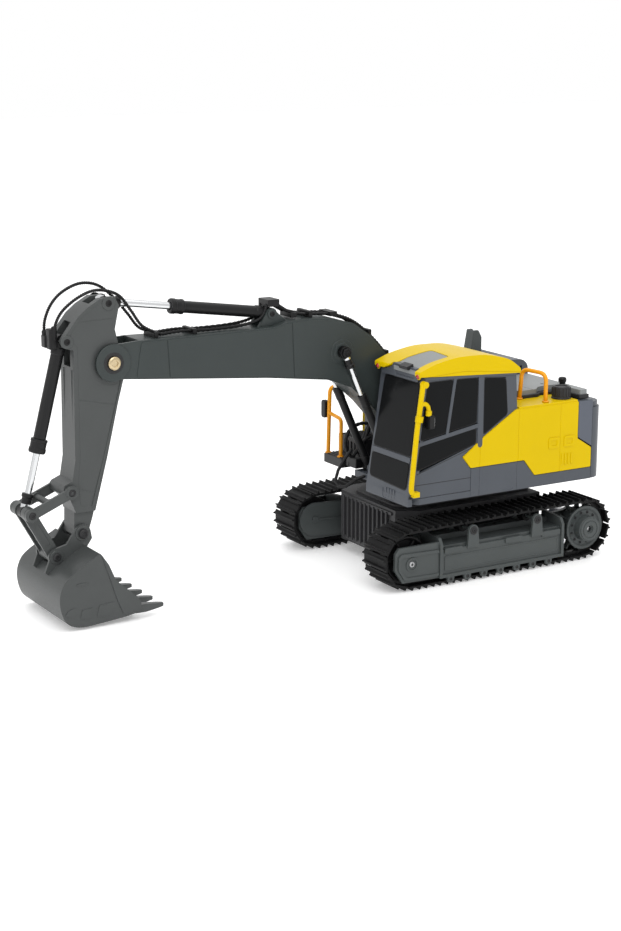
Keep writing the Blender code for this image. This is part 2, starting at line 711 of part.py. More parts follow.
def deck_details():
    cap = rod((64, -80, 125.3), (64, -80, 133), 6.2, 20)
    node("filler_cap", "dark_grey", [cap])
    rail = [(72, -55, 125.3), (72, -55, 147.5), (53, -47, 149), (53, -45, 125.3)]
    node("deck_handrail", "orange", [tube(rounded_route(rail, 5), TOP_RAIL_RADIUS)])
    x = -75.0
    rail = [(x, 45.5, 70), (x, 44, 124), (x, 10, 116), (x, 9, 112.6)]
    cross = [(x, 44.6, 102), (-57, 44.6, 100), (-57, 45, 70)]
    bars = [tube(rounded_route(rail, 6), TOP_RAIL_RADIUS), tube(rounded_route(cross, 3), 1.4)]
    node("front_handrail", "orange", bars)
    box = block((-76.5, -45), (12.6, 35), (68.3, 84))
    step = block((-76.5, -50), (36.4, 48.5), (62.5, 69.7))
    foot = block((-76.5, -45), (30, 40), (68.4, 74))
    node("step_box", "dark_grey", [box, foot, step])
    mirror = block((-83, -77.2), (44, 47), (98, 111))
    arm = rod((-79, 44.5, 106), (-76.8, 44.5, 106), 1.0, 8)
    node("right_mirror", "black", [mirror, arm])


def inner_works():
    switch = block((-43.4, -39.4), (-81.5, -78.5), (61.8, 70.0))
    node("power_switch", "black", [switch], pivot=(-41.4, -80.0, 66.0))
    node("battery_pack", "battery_blue", [block((-34, 34), (-90, -62), (68.4, 98))])
    node("control_board", "board_green", [block((-8, 62), (-58, -32), (72, 74))])
    motor = rod((-30, -5, 69), (-30, -5, 96), 9, 20)
    shaft = rod((-30, -5, 68.3), (-30, -5, 70), 1.5, 10)
    node("swing_motor", "steel", [motor, shaft])


# Boom, arm and bucket


def boom_outline():
    bottom = [(255.5, 164.5), (150.4, 155.0), (99.8, 148.6), (80.0, 141.0), (62.0, 125.0), (40.0, 101.0)]
    foot = arc(BOOM_FOOT, 7.5, -35, -220, 8)
    top = [(22.0, 124.0), (47.3, 161.0), (62.8, 178.0), (77.7, 188.4), (95.5, 193.6), (113, 195.0)]
    top += [(131.7, 194.5), (145.3, 191.2), (237.5, 190.7), (251.0, 191.0)]
    return bottom + foot + top


def boom(parent):
    main = side_plate(boom_outline(), (-BOOM_HALF, BOOM_HALF))
    ears = []
    for x in ((-BOOM_HALF, -ARM_HALF - GAP), (ARM_HALF + GAP, BOOM_HALF)):
        outline = [(240, 166), (250, 164)] + arc(ARM_PIVOT, 12.5, -110, 75, 10) + [(250, 191), (240, 190)]
        ears.append(side_plate(outline, x))
    bracket = [(131, 193.5), (155, 190)] + arc(ARM_BARREL_PIN, 4.2, 20, 165, 6)
    brackets = [side_plate(bracket, x) for x in ((-7.4, -4.6), (4.6, 7.4))]
    stubs = [across(x, ARM_BARREL_PIN, 1.5, 10) for x in ((-7, -2.6), (2.6, 7))]
    bosses = [across(x, BOOM_ROD_PIN, 6.5, 16) for x in ((-14.2, -10), (10, 14.2))]
    bosses += [across(x, BOOM_ROD_PIN, 1.6, 10) for x in ((-20.6, -10), (10, 20.6))]
    foot_slot = [(-10, 70), (31, 70), (31, 92), (20, 104), (-10, 104)]
    cuts = [side_plate(foot_slot, x) for x in ((-20, -9.2), (9.2, 20))]
    cuts += [
        across((-ARM_HALF - GAP, ARM_HALF + GAP), ARM_PIVOT, 20.5, 28),
        across((-20, 20), ARM_PIVOT, 2.9, 14),
        across((-20, 20), BOOM_FOOT, 3.3, 14),
    ]
    body = [main, *ears, *brackets, *stubs, *bosses]
    node("boom", "boom_grey", body, cuts, pivot=(0, *BOOM_FOOT), parent=parent)
    pin = across((-13.2, 13.2), BOOM_FOOT, 3.0, 16)
    heads = [across(x, BOOM_FOOT, 4.6, 16) for x in ((-15.2, -13.2), (13.2, 15.2))]
    node("boom_foot_pin", "steel", [pin, *heads])


def arm(parent):
    outline = [
        (279.0, 221.5), (288.0, 216.5), (295.0, 211.0), (301.5, 203.0), (305.0, 198.5),
        (308.0, 194.2), (305.5, 189.8), (299.5, 188.0), (300.5, 112.0), (303.0, 98.0),
        (309.0, 95.5), (310.5, 89.0), (305.0, 84.5), (301.5, 76.0), (302.0, 62.0),
    ]
    outline += arc(BUCKET_PIVOT, 5.6, -10, -150, 6)
    outline += [(288.0, 70.0), (276.5, 112.0), (264.5, 161.0), (263.0, 176.0)]
    outline += [(268.5, 200.0), (265.0, 216.0), (268.0, 222.0)]
    main = side_plate(outline, (-ARM_HALF, ARM_HALF))
    tip_cuts = [
        side_plate([(280, 75), (312, 75), (312, 50), (280, 50)], x) for x in ((-15, -8.8), (8.8, 15))
    ]
    top_slot = side_plate([(250, 206), (285, 206), (285, 230), (250, 230)], (-5.4, 5.4))
    ear_slot = side_plate([(295.5, 176), (315, 176), (315, 210), (295.5, 206)], (-5.4, 5.4))
    stub_spans = ((-9, -4.4), (4.4, 9))
    stubs = [across(x, ARM_ROD_PIN, TRUNNION_RADIUS, 10) for x in stub_spans]
    stubs += [across(x, BUCKET_BARREL_PIN, TRUNNION_RADIUS, 10) for x in stub_spans]
    trunnions = [across(x, ROCKER_PIVOT, 2.0, 12) for x in ((-14.9, -8), (8, 14.9))]
    bores = [across((-20, 20), ARM_PIVOT, 2.9, 14), across((-20, 20), BUCKET_PIVOT, 2.1, 12)]
    cuts = [*tip_cuts, top_slot, ear_slot, *bores]
    node("arm", "warm_grey", [main], cuts, [*stubs, *trunnions], pivot=(0, *ARM_PIVOT), parent=parent)
    pin = across((-14.2, 14.2), ARM_PIVOT, 2.6, 14)
    heads = [across(x, ARM_PIVOT, 4.6, 14) for x in ((-16.0, -14.0), (14.0, 16.0))]
    node("arm_pin", "brass", [pin, *heads], pivot=(0, *ARM_PIVOT), parent=parent)


def rocker(parent):
    bars = []
    for x in ((-14.4, -11.6), (11.6, 14.4)):
        bars.append(bar_between(ROCKER_PIVOT, ROD_END_PIVOT, 3.4, (x[0] + 0.2, x[1] - 0.2)))
        bars += [across(x, centre, 4.6, 14) for centre in (ROCKER_PIVOT, ROD_END_PIVOT)]
    middle = between(ROCKER_PIVOT, ROD_END_PIVOT, 0.52)
    cross = [across((-12, 12), middle, 2.2, 10), across((-14, 14), ROD_END_PIVOT, 2.0, 12)]
    holes = [across((-20, 20), ROCKER_PIVOT, 2.3, 12)]
    node("rocker", "dark_grey", [*bars, *cross], holes, pivot=(0, *ROCKER_PIVOT), parent=parent)


def bar_between(start, end, half_height, x):
    run = Vector(end) - Vector(start)
    across_run = Vector((-run.y, run.x)).normalized() * half_height
    corners = [Vector(start) + across_run, Vector(start) - across_run]
    corners += [Vector(end) - across_run, Vector(end) + across_run]
    return side_plate([tuple(corner) for corner in corners], x)


def link(parent):
    upper = across((-11.0, 11.0), ROD_END_PIVOT, 4.6, 14)
    lower = across((-8.6, 8.6), LINK_PIVOT, 4.8, 14)
    web = bar_between(ROD_END_PIVOT, LINK_PIVOT, 1.6, (-7.0, 7.0))
    rails = [bar_between(ROD_END_PIVOT, LINK_PIVOT, 4.4, x) for x in ((-8.3, -6.1), (6.1, 8.3))]
    notch = across((-4.4, 4.4), ROD_END_PIVOT, 6.6, 16)
    holes = [across((-20, 20), ROD_END_PIVOT, 2.3, 12), across((-20, 20), LINK_PIVOT, 3.5, 12)]
    body = [web, upper, lower, *rails]
    node("bucket_link", "dark_grey", body, [notch, *holes], pivot=(0, *ROD_END_PIVOT), parent=parent)


def bucket(parent):
    outer = [
        (295.8, 52.0), (289.5, 42.0), (284.0, 30.5), (270.5, 18.5), (260.0, 11.5),
        (260.0, 5.2), (279.0, 3.4), (314.0, 1.4), (321.5, 5.0), (325.5, 15.0),
        (326.6, 26.0), (324.5, 33.0), (318.5, 39.0), (304.0, 47.2),
    ]
    inner = [
        (297.5, 48.8), (303.2, 45.2), (316.8, 37.3), (322.2, 31.8), (324.4, 26.0),
        (323.3, 15.6), (319.8, 6.7), (313.6, 3.6), (279.0, 5.6), (250.0, 8.8),
        (230.0, 30.0), (280.0, 70.0),
    ]
    shell = side_plate(outer, (-BUCKET_HALF, BUCKET_HALF))
    cavity = side_plate(inner, (-BUCKET_HALF + BUCKET_WALL, BUCKET_HALF - BUCKET_WALL))
    spacing = (BUCKET_HALF - 4.0) / 2
    tooth_outline = [(268, 10.0), (250.0, 8.8), (250.0, 7.6), (262, 4.6), (268, 4.4)]
    middles = [n * spacing for n in range(-2, 3)]
    half = BUCKET_TOOTH_HALF
    teeth = [side_plate(tooth_outline, (middle - half, middle + half)) for middle in middles]
    ear = [(291.2, 58.0)] + arc(BUCKET_PIVOT, 6.0, 160, 50, 6) + arc(LINK_PIVOT, 5.6, 60, -20, 6)
    ear += [(325.0, 33.0), (318.0, 37.0), (304.0, 45.0), (295.0, 50.0)]
    ears = [side_plate(ear, x) for x in ((-11.6, -9.4), (9.4, 11.6))]
    pin = across((-13.4, 13.4), LINK_PIVOT, 1.7, 10)
    heads = [across(x, LINK_PIVOT, 3.4, 10) for x in ((-13.6, -11.5), (11.5, 13.6))]
    holes = [across((-20, 20), BUCKET_PIVOT, 2.1, 12)]
    link_room = across((-9.3, 9.3), LINK_PIVOT, 6.9, 16)
    added = [*teeth, *ears, pin, *heads]
    cuts = [cavity, link_room]
    node("bucket", "dark_grey", [shell], cuts, added, holes, pivot=(0, *BUCKET_PIVOT), parent=parent)
    shaft = across((-12.2, 12.2), BUCKET_PIVOT, 1.8, 12)
    heads = [across(x, BUCKET_PIVOT, 3.6, 12) for x in ((-14.0, -12.0), (12.0, 14.0))]
    node("bucket_pin", "dark_grey", [shaft, *heads])


def cylinder(
    name, x, base, end, barrel_length, radii, eye_widths, pinned, parents, closed_end=CLOSED_END
):
    """A hydraulic cylinder's barrel and rod on one line. pinned says which eyes have a pin hole."""
    barrel_radius, gland_radius, rod_radius, eye_radius = radii
    base_width, end_width = eye_widths
    length = distance(base, end)

    def along(reach):
        return (x, *beyond(base, end, reach))

    pin_holes = {
        "barrel": [across((x - 9, x + 9), base, AXLE_RADIUS, 10)] if "barrel" in pinned else [],
        "rod": [across((x - 9, x + 9), end, PIN_HOLE, 10)] if "rod" in pinned else [],
    }
    sleeve = rod(along(2.0), along(barrel_length), barrel_radius, 16)
    collar = rod(along(barrel_length - CYLINDER_GLAND), along(barrel_length + 0.5), gland_radius, 16)
    base_eye = across((x - base_width, x + base_width), base, eye_radius, 14)
    bore = rod(along(6.5), along(barrel_length + 5), rod_radius + GAP, 12)
    cuts = [bore, *pin_holes["barrel"]]
    node(f"{name}_barrel", "black", [sleeve, base_eye, collar], cuts, pivot=(x, *base), parent=parents[0])
    shaft = rod(along(closed_end), along(length - 1), rod_radius, 12)
    fitting = rod(along(length - eye_radius - EYE_NECK), along(length - 1.2), rod_radius + 1.0, 12)
    rod_eye = across((x - end_width, x + end_width), end, eye_radius, 14)
    cuts = pin_holes["rod"]
    node(f"{name}_rod", "chrome", [shaft, fitting, rod_eye], cuts, pivot=(x, *end), parent=parents[1])


def build_cylinders(swing_axis, boom_axis, arm_axis):
    for side, x in (("left", BOOM_CYLINDER_X), ("right", -BOOM_CYLINDER_X)):
        radii = (3.1, 3.4, 1.9, 4.2)
        places = (BOOM_BARREL_PIN, BOOM_ROD_PIN)
        cylinder(f"{side}_boom", x, *places, 71, radii, (2.2, 2.2), "rod", (swing_axis, boom_axis))
    places = (ARM_BARREL_PIN, ARM_ROD_PIN)
    cylinder("arm", 0, *places, 78, (4.3, 5.2, 2.7, 4.2), (2.2, 3.2), "barrel", (boom_axis, arm_axis), 28.5)
    places = (BUCKET_BARREL_PIN, ROD_END_PIVOT)
    cylinder("bucket", 0, *places, 78, (4.4, 5.6, 2.5, 4.2), (3.2, 3.2), "rod", (arm_axis, arm_axis))


def hoses():
    for name, x, route in ARM_HOSES:
        places = [(x * share, ahead, up) for share, ahead, up in route]
        node(name, "black", [tube(places, HOSE_RADIUS, 8)])
    runs = [tube([(x, ahead, up) for ahead, up in BOOM_HOSE], HOSE_RADIUS, 8) for x in (-5.0, 5.0)]
    clamps = [block((-8, 8), (123, 128), (195.9, 199.5)), block((-8, 8), (89, 95), (194.2, 197.5))]
    swivel_block = block((-7, 7), (137, 146.5), (204.9, 210))
    node("boom_hoses", "black", [swivel_block, *clamps, *runs])
    node("base_hose", "black", [tube(BASE_HOSE, 1.3, 8)])


undercarriage()
swing = joint_axis("swing_axis", (0, 0, 0))
upper_frame()
housing()
node("left_panel", "yellow", [side_plate(SIDE_PANEL, (PANEL_INNER_X, HALF_WIDTH))])
node("right_panel", "yellow", [side_plate(RIGHT_PANEL, (-HALF_WIDTH, -PANEL_INNER_X))])
counterweight()
engine_hood()
exhaust_stack()
deck_cover()
cab()
deck_details()
inner_works()
boom_axis = joint_axis("boom_axis", (0, *BOOM_FOOT), swing)
boom(boom_axis)
arm_axis = joint_axis("arm_axis", (0, *ARM_PIVOT), boom_axis)
arm(arm_axis)
rocker(arm_axis)
link(arm_axis)
bucket(arm_axis)
build_cylinders(swing, boom_axis, arm_axis)
hoses()
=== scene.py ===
"""Looks of the tracked excavator model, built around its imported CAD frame.

Lengths are in millimetres and MM turns them into metres. A place is given as
(x, ahead, up): x grows towards the machine's left, where the cab is, ahead grows from the
swing axis towards the bucket, and up grows from the ground. The world has +Y to the rear.
"""

import math

import bmesh
import bpy
from mathutils import Matrix, Vector

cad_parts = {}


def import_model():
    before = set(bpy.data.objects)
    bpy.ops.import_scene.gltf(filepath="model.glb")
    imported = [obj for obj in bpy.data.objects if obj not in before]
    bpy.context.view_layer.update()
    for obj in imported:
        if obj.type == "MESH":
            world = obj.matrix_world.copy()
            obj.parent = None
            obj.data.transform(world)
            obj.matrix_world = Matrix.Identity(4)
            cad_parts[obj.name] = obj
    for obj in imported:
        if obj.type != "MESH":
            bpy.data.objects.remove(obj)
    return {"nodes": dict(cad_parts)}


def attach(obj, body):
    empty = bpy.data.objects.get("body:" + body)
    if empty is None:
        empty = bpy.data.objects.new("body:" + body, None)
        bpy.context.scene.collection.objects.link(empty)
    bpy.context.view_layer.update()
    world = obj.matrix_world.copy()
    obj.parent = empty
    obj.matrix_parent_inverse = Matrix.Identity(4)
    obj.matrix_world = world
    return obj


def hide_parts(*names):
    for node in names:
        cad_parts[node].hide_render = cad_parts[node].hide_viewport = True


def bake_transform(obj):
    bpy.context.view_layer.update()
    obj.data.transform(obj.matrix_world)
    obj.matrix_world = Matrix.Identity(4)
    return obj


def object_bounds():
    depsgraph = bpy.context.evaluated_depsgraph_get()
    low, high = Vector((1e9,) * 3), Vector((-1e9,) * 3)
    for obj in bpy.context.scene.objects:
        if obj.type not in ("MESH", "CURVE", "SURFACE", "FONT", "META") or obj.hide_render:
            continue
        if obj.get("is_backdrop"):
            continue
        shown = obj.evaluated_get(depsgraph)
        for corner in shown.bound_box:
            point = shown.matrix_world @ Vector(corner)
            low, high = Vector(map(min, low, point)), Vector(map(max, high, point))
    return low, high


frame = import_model()
CAD_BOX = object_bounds()

MM = 0.001
BOX_CENTRE_AHEAD = 111.3
SIDES = (("left", 1), ("right", -1))
SIGNS = (1, -1)
ACROSS_ALL = (-20, 20)
FAR = 90

# Driving dimensions, the same as the frame's
HALF_WIDTH = 77.5
IDLER_AXLE = (71.0, 23.4)
SPROCKET_AXLE = (-92.7, 24.5)
IDLER_ROLL = 17.6
SPROCKET_ROLL = 18.7
CHAIN_HEIGHT = 2.4
LINK_PITCH = 12.3
SHOE_X = (50.3, 79.8)
TRACK_X = 0.5 * (SHOE_X[0] + SHOE_X[1])
CARRIER_AHEAD = (16.0, -43.0)
CARRIER_UP = 38.9
FRAME_REAR = -68.5
FRAME_AHEAD = 46.0
PLATE_X = (80.1, 82.3)
YOKE_SCREW = (70.1, 20.8)
SPROCKET_BOLTS = 12
IDLER_SPOKES = 6
ROLLER_COUNT = 7
FIRST_ROLLER_AHEAD = 36.0
LAST_ROLLER_AHEAD = -54.5
ROLLER_UP = 6.0
BOOM_HALF = 13.5
ARM_HALF = 11.0
BOOM_FOOT = (8.0, 88.0)
ARM_PIVOT = (271.6, 177.4)
BUCKET_PIVOT = (297.0, 60.3)
ROCKER_PIVOT = (305.0, 90.5)
ROD_END_PIVOT = (334.6, 78.4)
LINK_PIVOT = (316.8, 46.2)
BOOM_BARREL_PIN = (44.0, 70.0)
BOOM_ROD_PIN = (88.5, 168.5)
ARM_BARREL_PIN = (143.5, 200.0)
ARM_ROD_PIN = (272.9, 218.1)
BUCKET_BARREL_PIN = (304.2, 194.2)
BUCKET_HALF = 38.0
BOOM_CYLINDER_X = 17.6


# Places and outlines


BEND_SHARE = 0.48  # the most of an edge that one bend may take


def world(x, ahead, up):
    return Vector((x, BOX_CENTRE_AHEAD - ahead, up)) * MM


def between(start, end, share):
    return tuple(a + (b - a) * share for a, b in zip(start, end))


def beyond(start, end, length):
    """The point at this length from start towards end."""
    return between(start, end, length / math.dist(start, end))


def arc(centre, radius, first, last, steps=16):
    """Points on an arc, with angles in degrees counted from the first axis towards the second."""
    angles = [math.radians(first + (last - first) * step / steps) for step in range(steps + 1)]
    return [(centre[0] + radius * math.cos(a), centre[1] + radius * math.sin(a)) for a in angles]


def ring(centre, radius, sides=32):
    return arc(centre, radius, 0, 360 - 360 / sides, sides - 1)


def bend(before, corner, after, radius, steps):
    """Places that lead softly round a corner, in a plane or in space."""
    entry = beyond(corner, before, min(radius, math.dist(corner, before) * BEND_SHARE))
    leave = beyond(corner, after, min(radius, math.dist(corner, after) * BEND_SHARE))
    found = []
    for step in range(steps + 1):
        t = step / steps
        weights = ((1 - t) ** 2, 2 * t * (1 - t), t**2)
        found.append(tuple(sum(w * c for w, c in zip(weights, row)) for row in zip(entry, corner, leave)))
    return found


def rounded(outline, radius, steps=4):
    """A closed outline with each corner turned into a bend. radius may be a list, one for each corner."""
    radii = radius if isinstance(radius, list) else [radius] * len(outline)
    found = []
    for before, corner, after, size in zip(outline[-1:] + outline, outline, outline[1:] + outline[:1], radii):
        found += bend(before, corner, after, size, steps) if size > 0 else [corner]
    return found


def oblong(low, high, radius=1.0, steps=4):
    """A rectangle between two opposite corners, with rounded corners."""
    return rounded([low, (high[0], low[1]), high, (low[0], high[1])], radius, steps)


def smooth_route(points, steps=6):
    """A smooth line through places, as more places."""
    ends = [points[0]] + list(points) + [points[-1]]
    found = []
    for a, b, c, d in zip(ends, ends[1:], ends[2:], ends[3:]):
        for step in range(steps):
            t = step / steps
            found.append(tuple(
                0.5 * (2 * q + (r - p) * t
                       + (2 * p - 5 * q + 4 * r - s) * t**2 + (3 * q - p - 3 * r + s) * t**3)
                for p, q, r, s in zip(a, b, c, d)
            ))
    return found + [tuple(points[-1])]


def bent_route(corners, radius, steps=5):
    """A route of straight runs with a bend at each inner corner."""
    route = [corners[0]]
    for before, corner, after in zip(corners, corners[1:], corners[2:]):
        route += bend(before, corner, after, radius, steps)
    return route + [corners[-1]]


# Shapes: each returns a closed bmesh in world coordinates


def outward(bm):
    """Turns every face outwards."""
    bmesh.ops.recalc_face_normals(bm, faces=bm.faces)
    if bm.calc_volume(signed=True) < 0:
        bmesh.ops.reverse_faces(bm, faces=bm.faces)
    return bm


def skin(bm, loops):
    """Closes the surface over a row of loops. A loop of one point is a tip."""
    sides = max(len(loop) for loop in loops)
    for one, two in zip(loops, loops[1:]):
        for k in range(sides):
            m = (k + 1) % sides
            corners = (one[k % len(one)], one[m % len(one)], two[m % len(two)], two[k % len(two)])
            unique = list(dict.fromkeys(corners))
            if len(unique) > 2:
                bm.faces.new(unique)
    for loop in (loops[0][::-1], loops[-1]):
        if len(loop) > 2:
            bm.faces.new(loop)
    return outward(bm)


def prism(outline, span, place):
    """An outline made solid between two levels. place turns (u, v, level) into a world place."""
    bm = bmesh.new()
    return skin(bm, [[bm.verts.new(place(u, v, w)) for u, v in outline] for w in span])


def side(outline, x):
    """An (ahead, up) outline made solid between two x values."""
    return prism(outline, x, lambda u, v, w: world(w, u, v))


def plan(outline, up):
    """An (x, ahead) outline made solid between two heights."""
    return prism(outline, up, lambda u, v, w: world(u, v, w))


def front(outline, ahead):
    """An (x, up) outline made solid between two ahead values."""
    return prism(outline, ahead, lambda u, v, w: world(u, w, v))


def box(x, ahead, up):
    return plan([(x[0], ahead[0]), (x[1], ahead[0]), (x[1], ahead[1]), (x[0], ahead[1])], up)


def lathe(profile, start, end, sides=32, hexagon=()):
    """Turns (along, radius) pairs about the line from start to end, in millimetres from start.

    The entries numbered in hexagon get six flat sides.
    """
    first, last = world(*start), world(*end)
    axis = (last - first).normalized()
    flat = axis.orthogonal().normalized()
    other = axis.cross(flat)
    bm = bmesh.new()
    loops = []
    for number, (along, radius) in enumerate(profile):
        middle = first + axis * along * MM
        if radius <= 0:
            loops.append([bm.verts.new(middle)])
            continue
        loop = []
        for k in range(sides):
            angle = 2 * math.pi * k / sides
            reach = radius
            if number in hexagon:
                reach /= math.cos((angle + math.pi / 6) % (math.pi / 3) - math.pi / 6)
            loop.append(bm.verts.new(
                middle + (flat * math.cos(angle) + other * math.sin(angle)) * reach * MM
            ))
        loops.append(loop)
    return skin(bm, loops)


def rod(start, end, radius, end_radius=None, sides=32):
    length = math.dist(start, end)
    return lathe([(0, radius), (length, radius if end_radius is None else end_radius)], start, end, sides)


def across(x, centre, radius, sides=32):
    """A cylinder along x, centred on a side-view point."""
    return rod((x[0], *centre), (x[1], *centre), radius, sides=sides)


def turned(profile, centre, sides=48, sign=1):
    """(x, radius) pairs turned about the line along x through centre. sign -1 is the right side."""
    return lathe([(sign * x, radius) for x, radius in profile], (0, *centre), (1, *centre), sides)


def seat(x, ahead, up, profile, sides=24):
    """(height, radius) pairs turned about an upright line."""
    return lathe(profile, (x, ahead, up), (x, ahead, up + 1), sides)


def strip(start, end, half, x):
    """A thin upright strip in the side view, this much wide on each side of a line."""
    corners = [(start, -half), (start, half), (end, half), (end, -half)]
    return side([(place[0] + shift, place[1]) for place, shift in corners], x)


def tube(route, radius, sides=12, radii=None):
    """A round bar through places. radii may give a radius for each place."""
    points = [world(*place) for place in route]
    bm = bmesh.new()
    loops = []
    flat = None
    for n, point in enumerate(points):
        run = (points[min(n + 1, len(points) - 1)] - points[max(n - 1, 0)]).normalized()
        flat = run.orthogonal() if flat is None else flat - run * flat.dot(run)
        flat.normalize()
        other = run.cross(flat)
        size = (radii[n] if radii else radius) * MM
        angles = [2 * math.pi * k / sides for k in range(sides)]
        loops.append([
            bm.verts.new(point + (flat * math.cos(a) + other * math.sin(a)) * size) for a in angles
        ])
    return skin(bm, loops)


def joined(shapes):
    whole = bmesh.new()
    for shape in shapes:
        mesh = bpy.data.meshes.new("shape")
        shape.to_mesh(mesh)
        shape.free()
        whole.from_mesh(mesh)
        bpy.data.meshes.remove(mesh)
    return whole


def headed(shares, x, centre, radius, height, hexagon):
    """Shares of height and radius, turned on a side face. A height below zero faces right."""
    step = 1 if height > 0 else -1
    profile = [(abs(height) * high, radius * wide) for high, wide in shares]
    return lathe(profile, (x, *centre), (x + step, *centre), 24, hexagon)


def bolt(x, centre, radius, height):
    """A domed bolt head with a hexagonal socket."""
    shares = ((0, 1), (0.45, 1), (0.85, 0.85), (1, 0.62), (1, 0.45), (0.4, 0.42), (0.4, 0))
    return headed(shares, x, centre, radius, height, (4, 5))


def hex_nut(x, centre, radius, height):
    shares = ((0, 1), (0.8, 1), (1, 0.86), (1, 0.4), (1.35, 0.36), (1.35, 0))
    return headed(shares, x, centre, radius, height, (0, 1, 2))


# Pieces


def to_object(bm, name):
    mesh = bpy.data.meshes.new(name)
    bm.to_mesh(mesh)
    bm.free()
    made = bpy.data.objects.new(name, mesh)
    bpy.context.scene.collection.objects.link(made)
    return made


def bake(shape):
    """Applies the modifiers."""
    bpy.context.view_layer.update()
    graph = bpy.context.evaluated_depsgraph_get()
    mesh = bpy.data.meshes.new_from_object(shape.evaluated_get(graph))
    shape.modifiers.clear()
    shape.data = mesh


def combine(shape, tools, operation):
    for tool in tools:
        cutter = to_object(tool, "tool")
        step = shape.modifiers.new(operation.title(), "BOOLEAN")
        step.operation = operation
        step.object = cutter
        step.use_self = operation == "DIFFERENCE"
        bake(shape)
        bpy.data.objects.remove(cutter)


def shape_of(thing):
    """A copy of an object's shape."""
    bm = bmesh.new()
    bm.from_mesh(thing.data)
    return bm


def soften(shape, width, segments=2, angle=28):
    """Rounds the edges sharper than angle and shades the faces smoothly between them."""
    weld = shape.modifiers.new("Weld", "WELD")
    weld.merge_threshold = 2e-6
    if width:
        bevel = shape.modifiers.new("Bevel", "BEVEL")
        bevel.width = width * MM
        bevel.segments = segments
        bevel.limit_method = "ANGLE"
        bevel.angle_limit = math.radians(angle)
        bevel.miter_outer = "MITER_ARC"
    shading = shape.modifiers.new("Shading", "WEIGHTED_NORMAL")
    shading.keep_sharp = False
    shading.weight = 50


def dress(shape, look):
    shape.data.materials.clear()
    shape.data.materials.append(LOOKS[look])
    for polygon in shape.data.polygons:
        polygon.material_index = 0


def piece(name, body, look, shapes, cuts=(), added=(), bevel=0.3, segments=2, angle=28, replaces=()):
    """One visible piece: the shapes, less the cuts, with what is added, riding on a body.

    A piece with no body is attached to none.
    """
    made = to_object(joined(shapes), name)
    combine(made, cuts, "DIFFERENCE")
    if added:
        whole = joined([shape_of(made), *added])
        whole.to_mesh(made.data)
        whole.free()
    dress(made, look)
    for polygon in made.data.polygons:
        polygon.use_smooth = True
    soften(made, bevel, segments, angle)
    if body:
        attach(made, body)
    if replaces:
        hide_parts(*replaces)
    return made


# Materials


MOTTLE_SIZE = 30.0
DUST_SIZE = 5.0
GRAIN_SIZE = 0.6
CAD_BEVEL = 0.35


def fill(node, values):
    """Sets the node's own sockets."""
    for socket, value in values.items():
        node.inputs[socket].default_value = value


def plastic(name, colour, roughness, metallic=0.0, mottle=0.05, grain=0.012, spread=0.08, coat=0.0,
            specular=0.5, dust=None):
    """A moulded or painted surface: slow changes of tone, fine grain in gloss and bump, and dust if set."""
    made = bpy.data.materials.new(name)
    made.use_nodes = True
    nodes, links = made.node_tree.nodes, made.node_tree.links
    shader = nodes["Principled BSDF"]
    fill(shader, {
        "Metallic": metallic, "Coat Weight": coat, "Coat Roughness": 0.12, "Specular IOR Level": specular,
    })
    place = nodes.new("ShaderNodeTexCoord")

    def noise(size, detail, rough=0.55):
        texture = nodes.new("ShaderNodeTexNoise")
        fill(texture, {"Scale": 1.0 / (size * MM), "Detail": detail, "Roughness": rough})
        links.new(place.outputs["Object"], texture.inputs["Vector"])
        return texture.outputs["Fac"]

    tone = nodes.new("ShaderNodeValToRGB")
    for end, position, change in zip(tone.color_ramp.elements, (0.3, 0.72), (1 - mottle, 1 + mottle)):
        end.position = position
        end.color = (*(min(1.0, c * change) for c in colour), 1)
    links.new(noise(MOTTLE_SIZE, 4.0), tone.inputs["Fac"])
    base = tone.outputs["Color"]
    if dust:
        dust_colour, dust_share = dust
        amount = nodes.new("ShaderNodeMapRange")
        fill(amount, {"From Min": 0.48, "From Max": 0.75, "To Max": dust_share})
        links.new(noise(DUST_SIZE, 8.0, 0.7), amount.inputs["Value"])
        mix = nodes.new("ShaderNodeMix")
        mix.data_type = "RGBA"
        fill(mix, {"B": (*dust_colour, 1)})
        links.new(amount.outputs["Result"], mix.inputs["Factor"])
        links.new(base, mix.inputs["A"])
        base = mix.outputs["Result"]
    links.new(base, shader.inputs["Base Color"])
    fine = noise(GRAIN_SIZE, 3.0)
    rough = nodes.new("ShaderNodeMapRange")
    low, high = max(0.02, roughness - spread), min(1.0, roughness + spread)
    fill(rough, {"From Min": 0.25, "From Max": 0.75, "To Min": low, "To Max": high})
    links.new(fine, rough.inputs["Value"])
    links.new(rough.outputs["Result"], shader.inputs["Roughness"])
    bump = nodes.new("ShaderNodeBump")
    fill(bump, {"Strength": 0.6, "Distance": grain * MM})
    links.new(fine, bump.inputs["Height"])
    links.new(bump.outputs["Normal"], shader.inputs["Normal"])
    return made


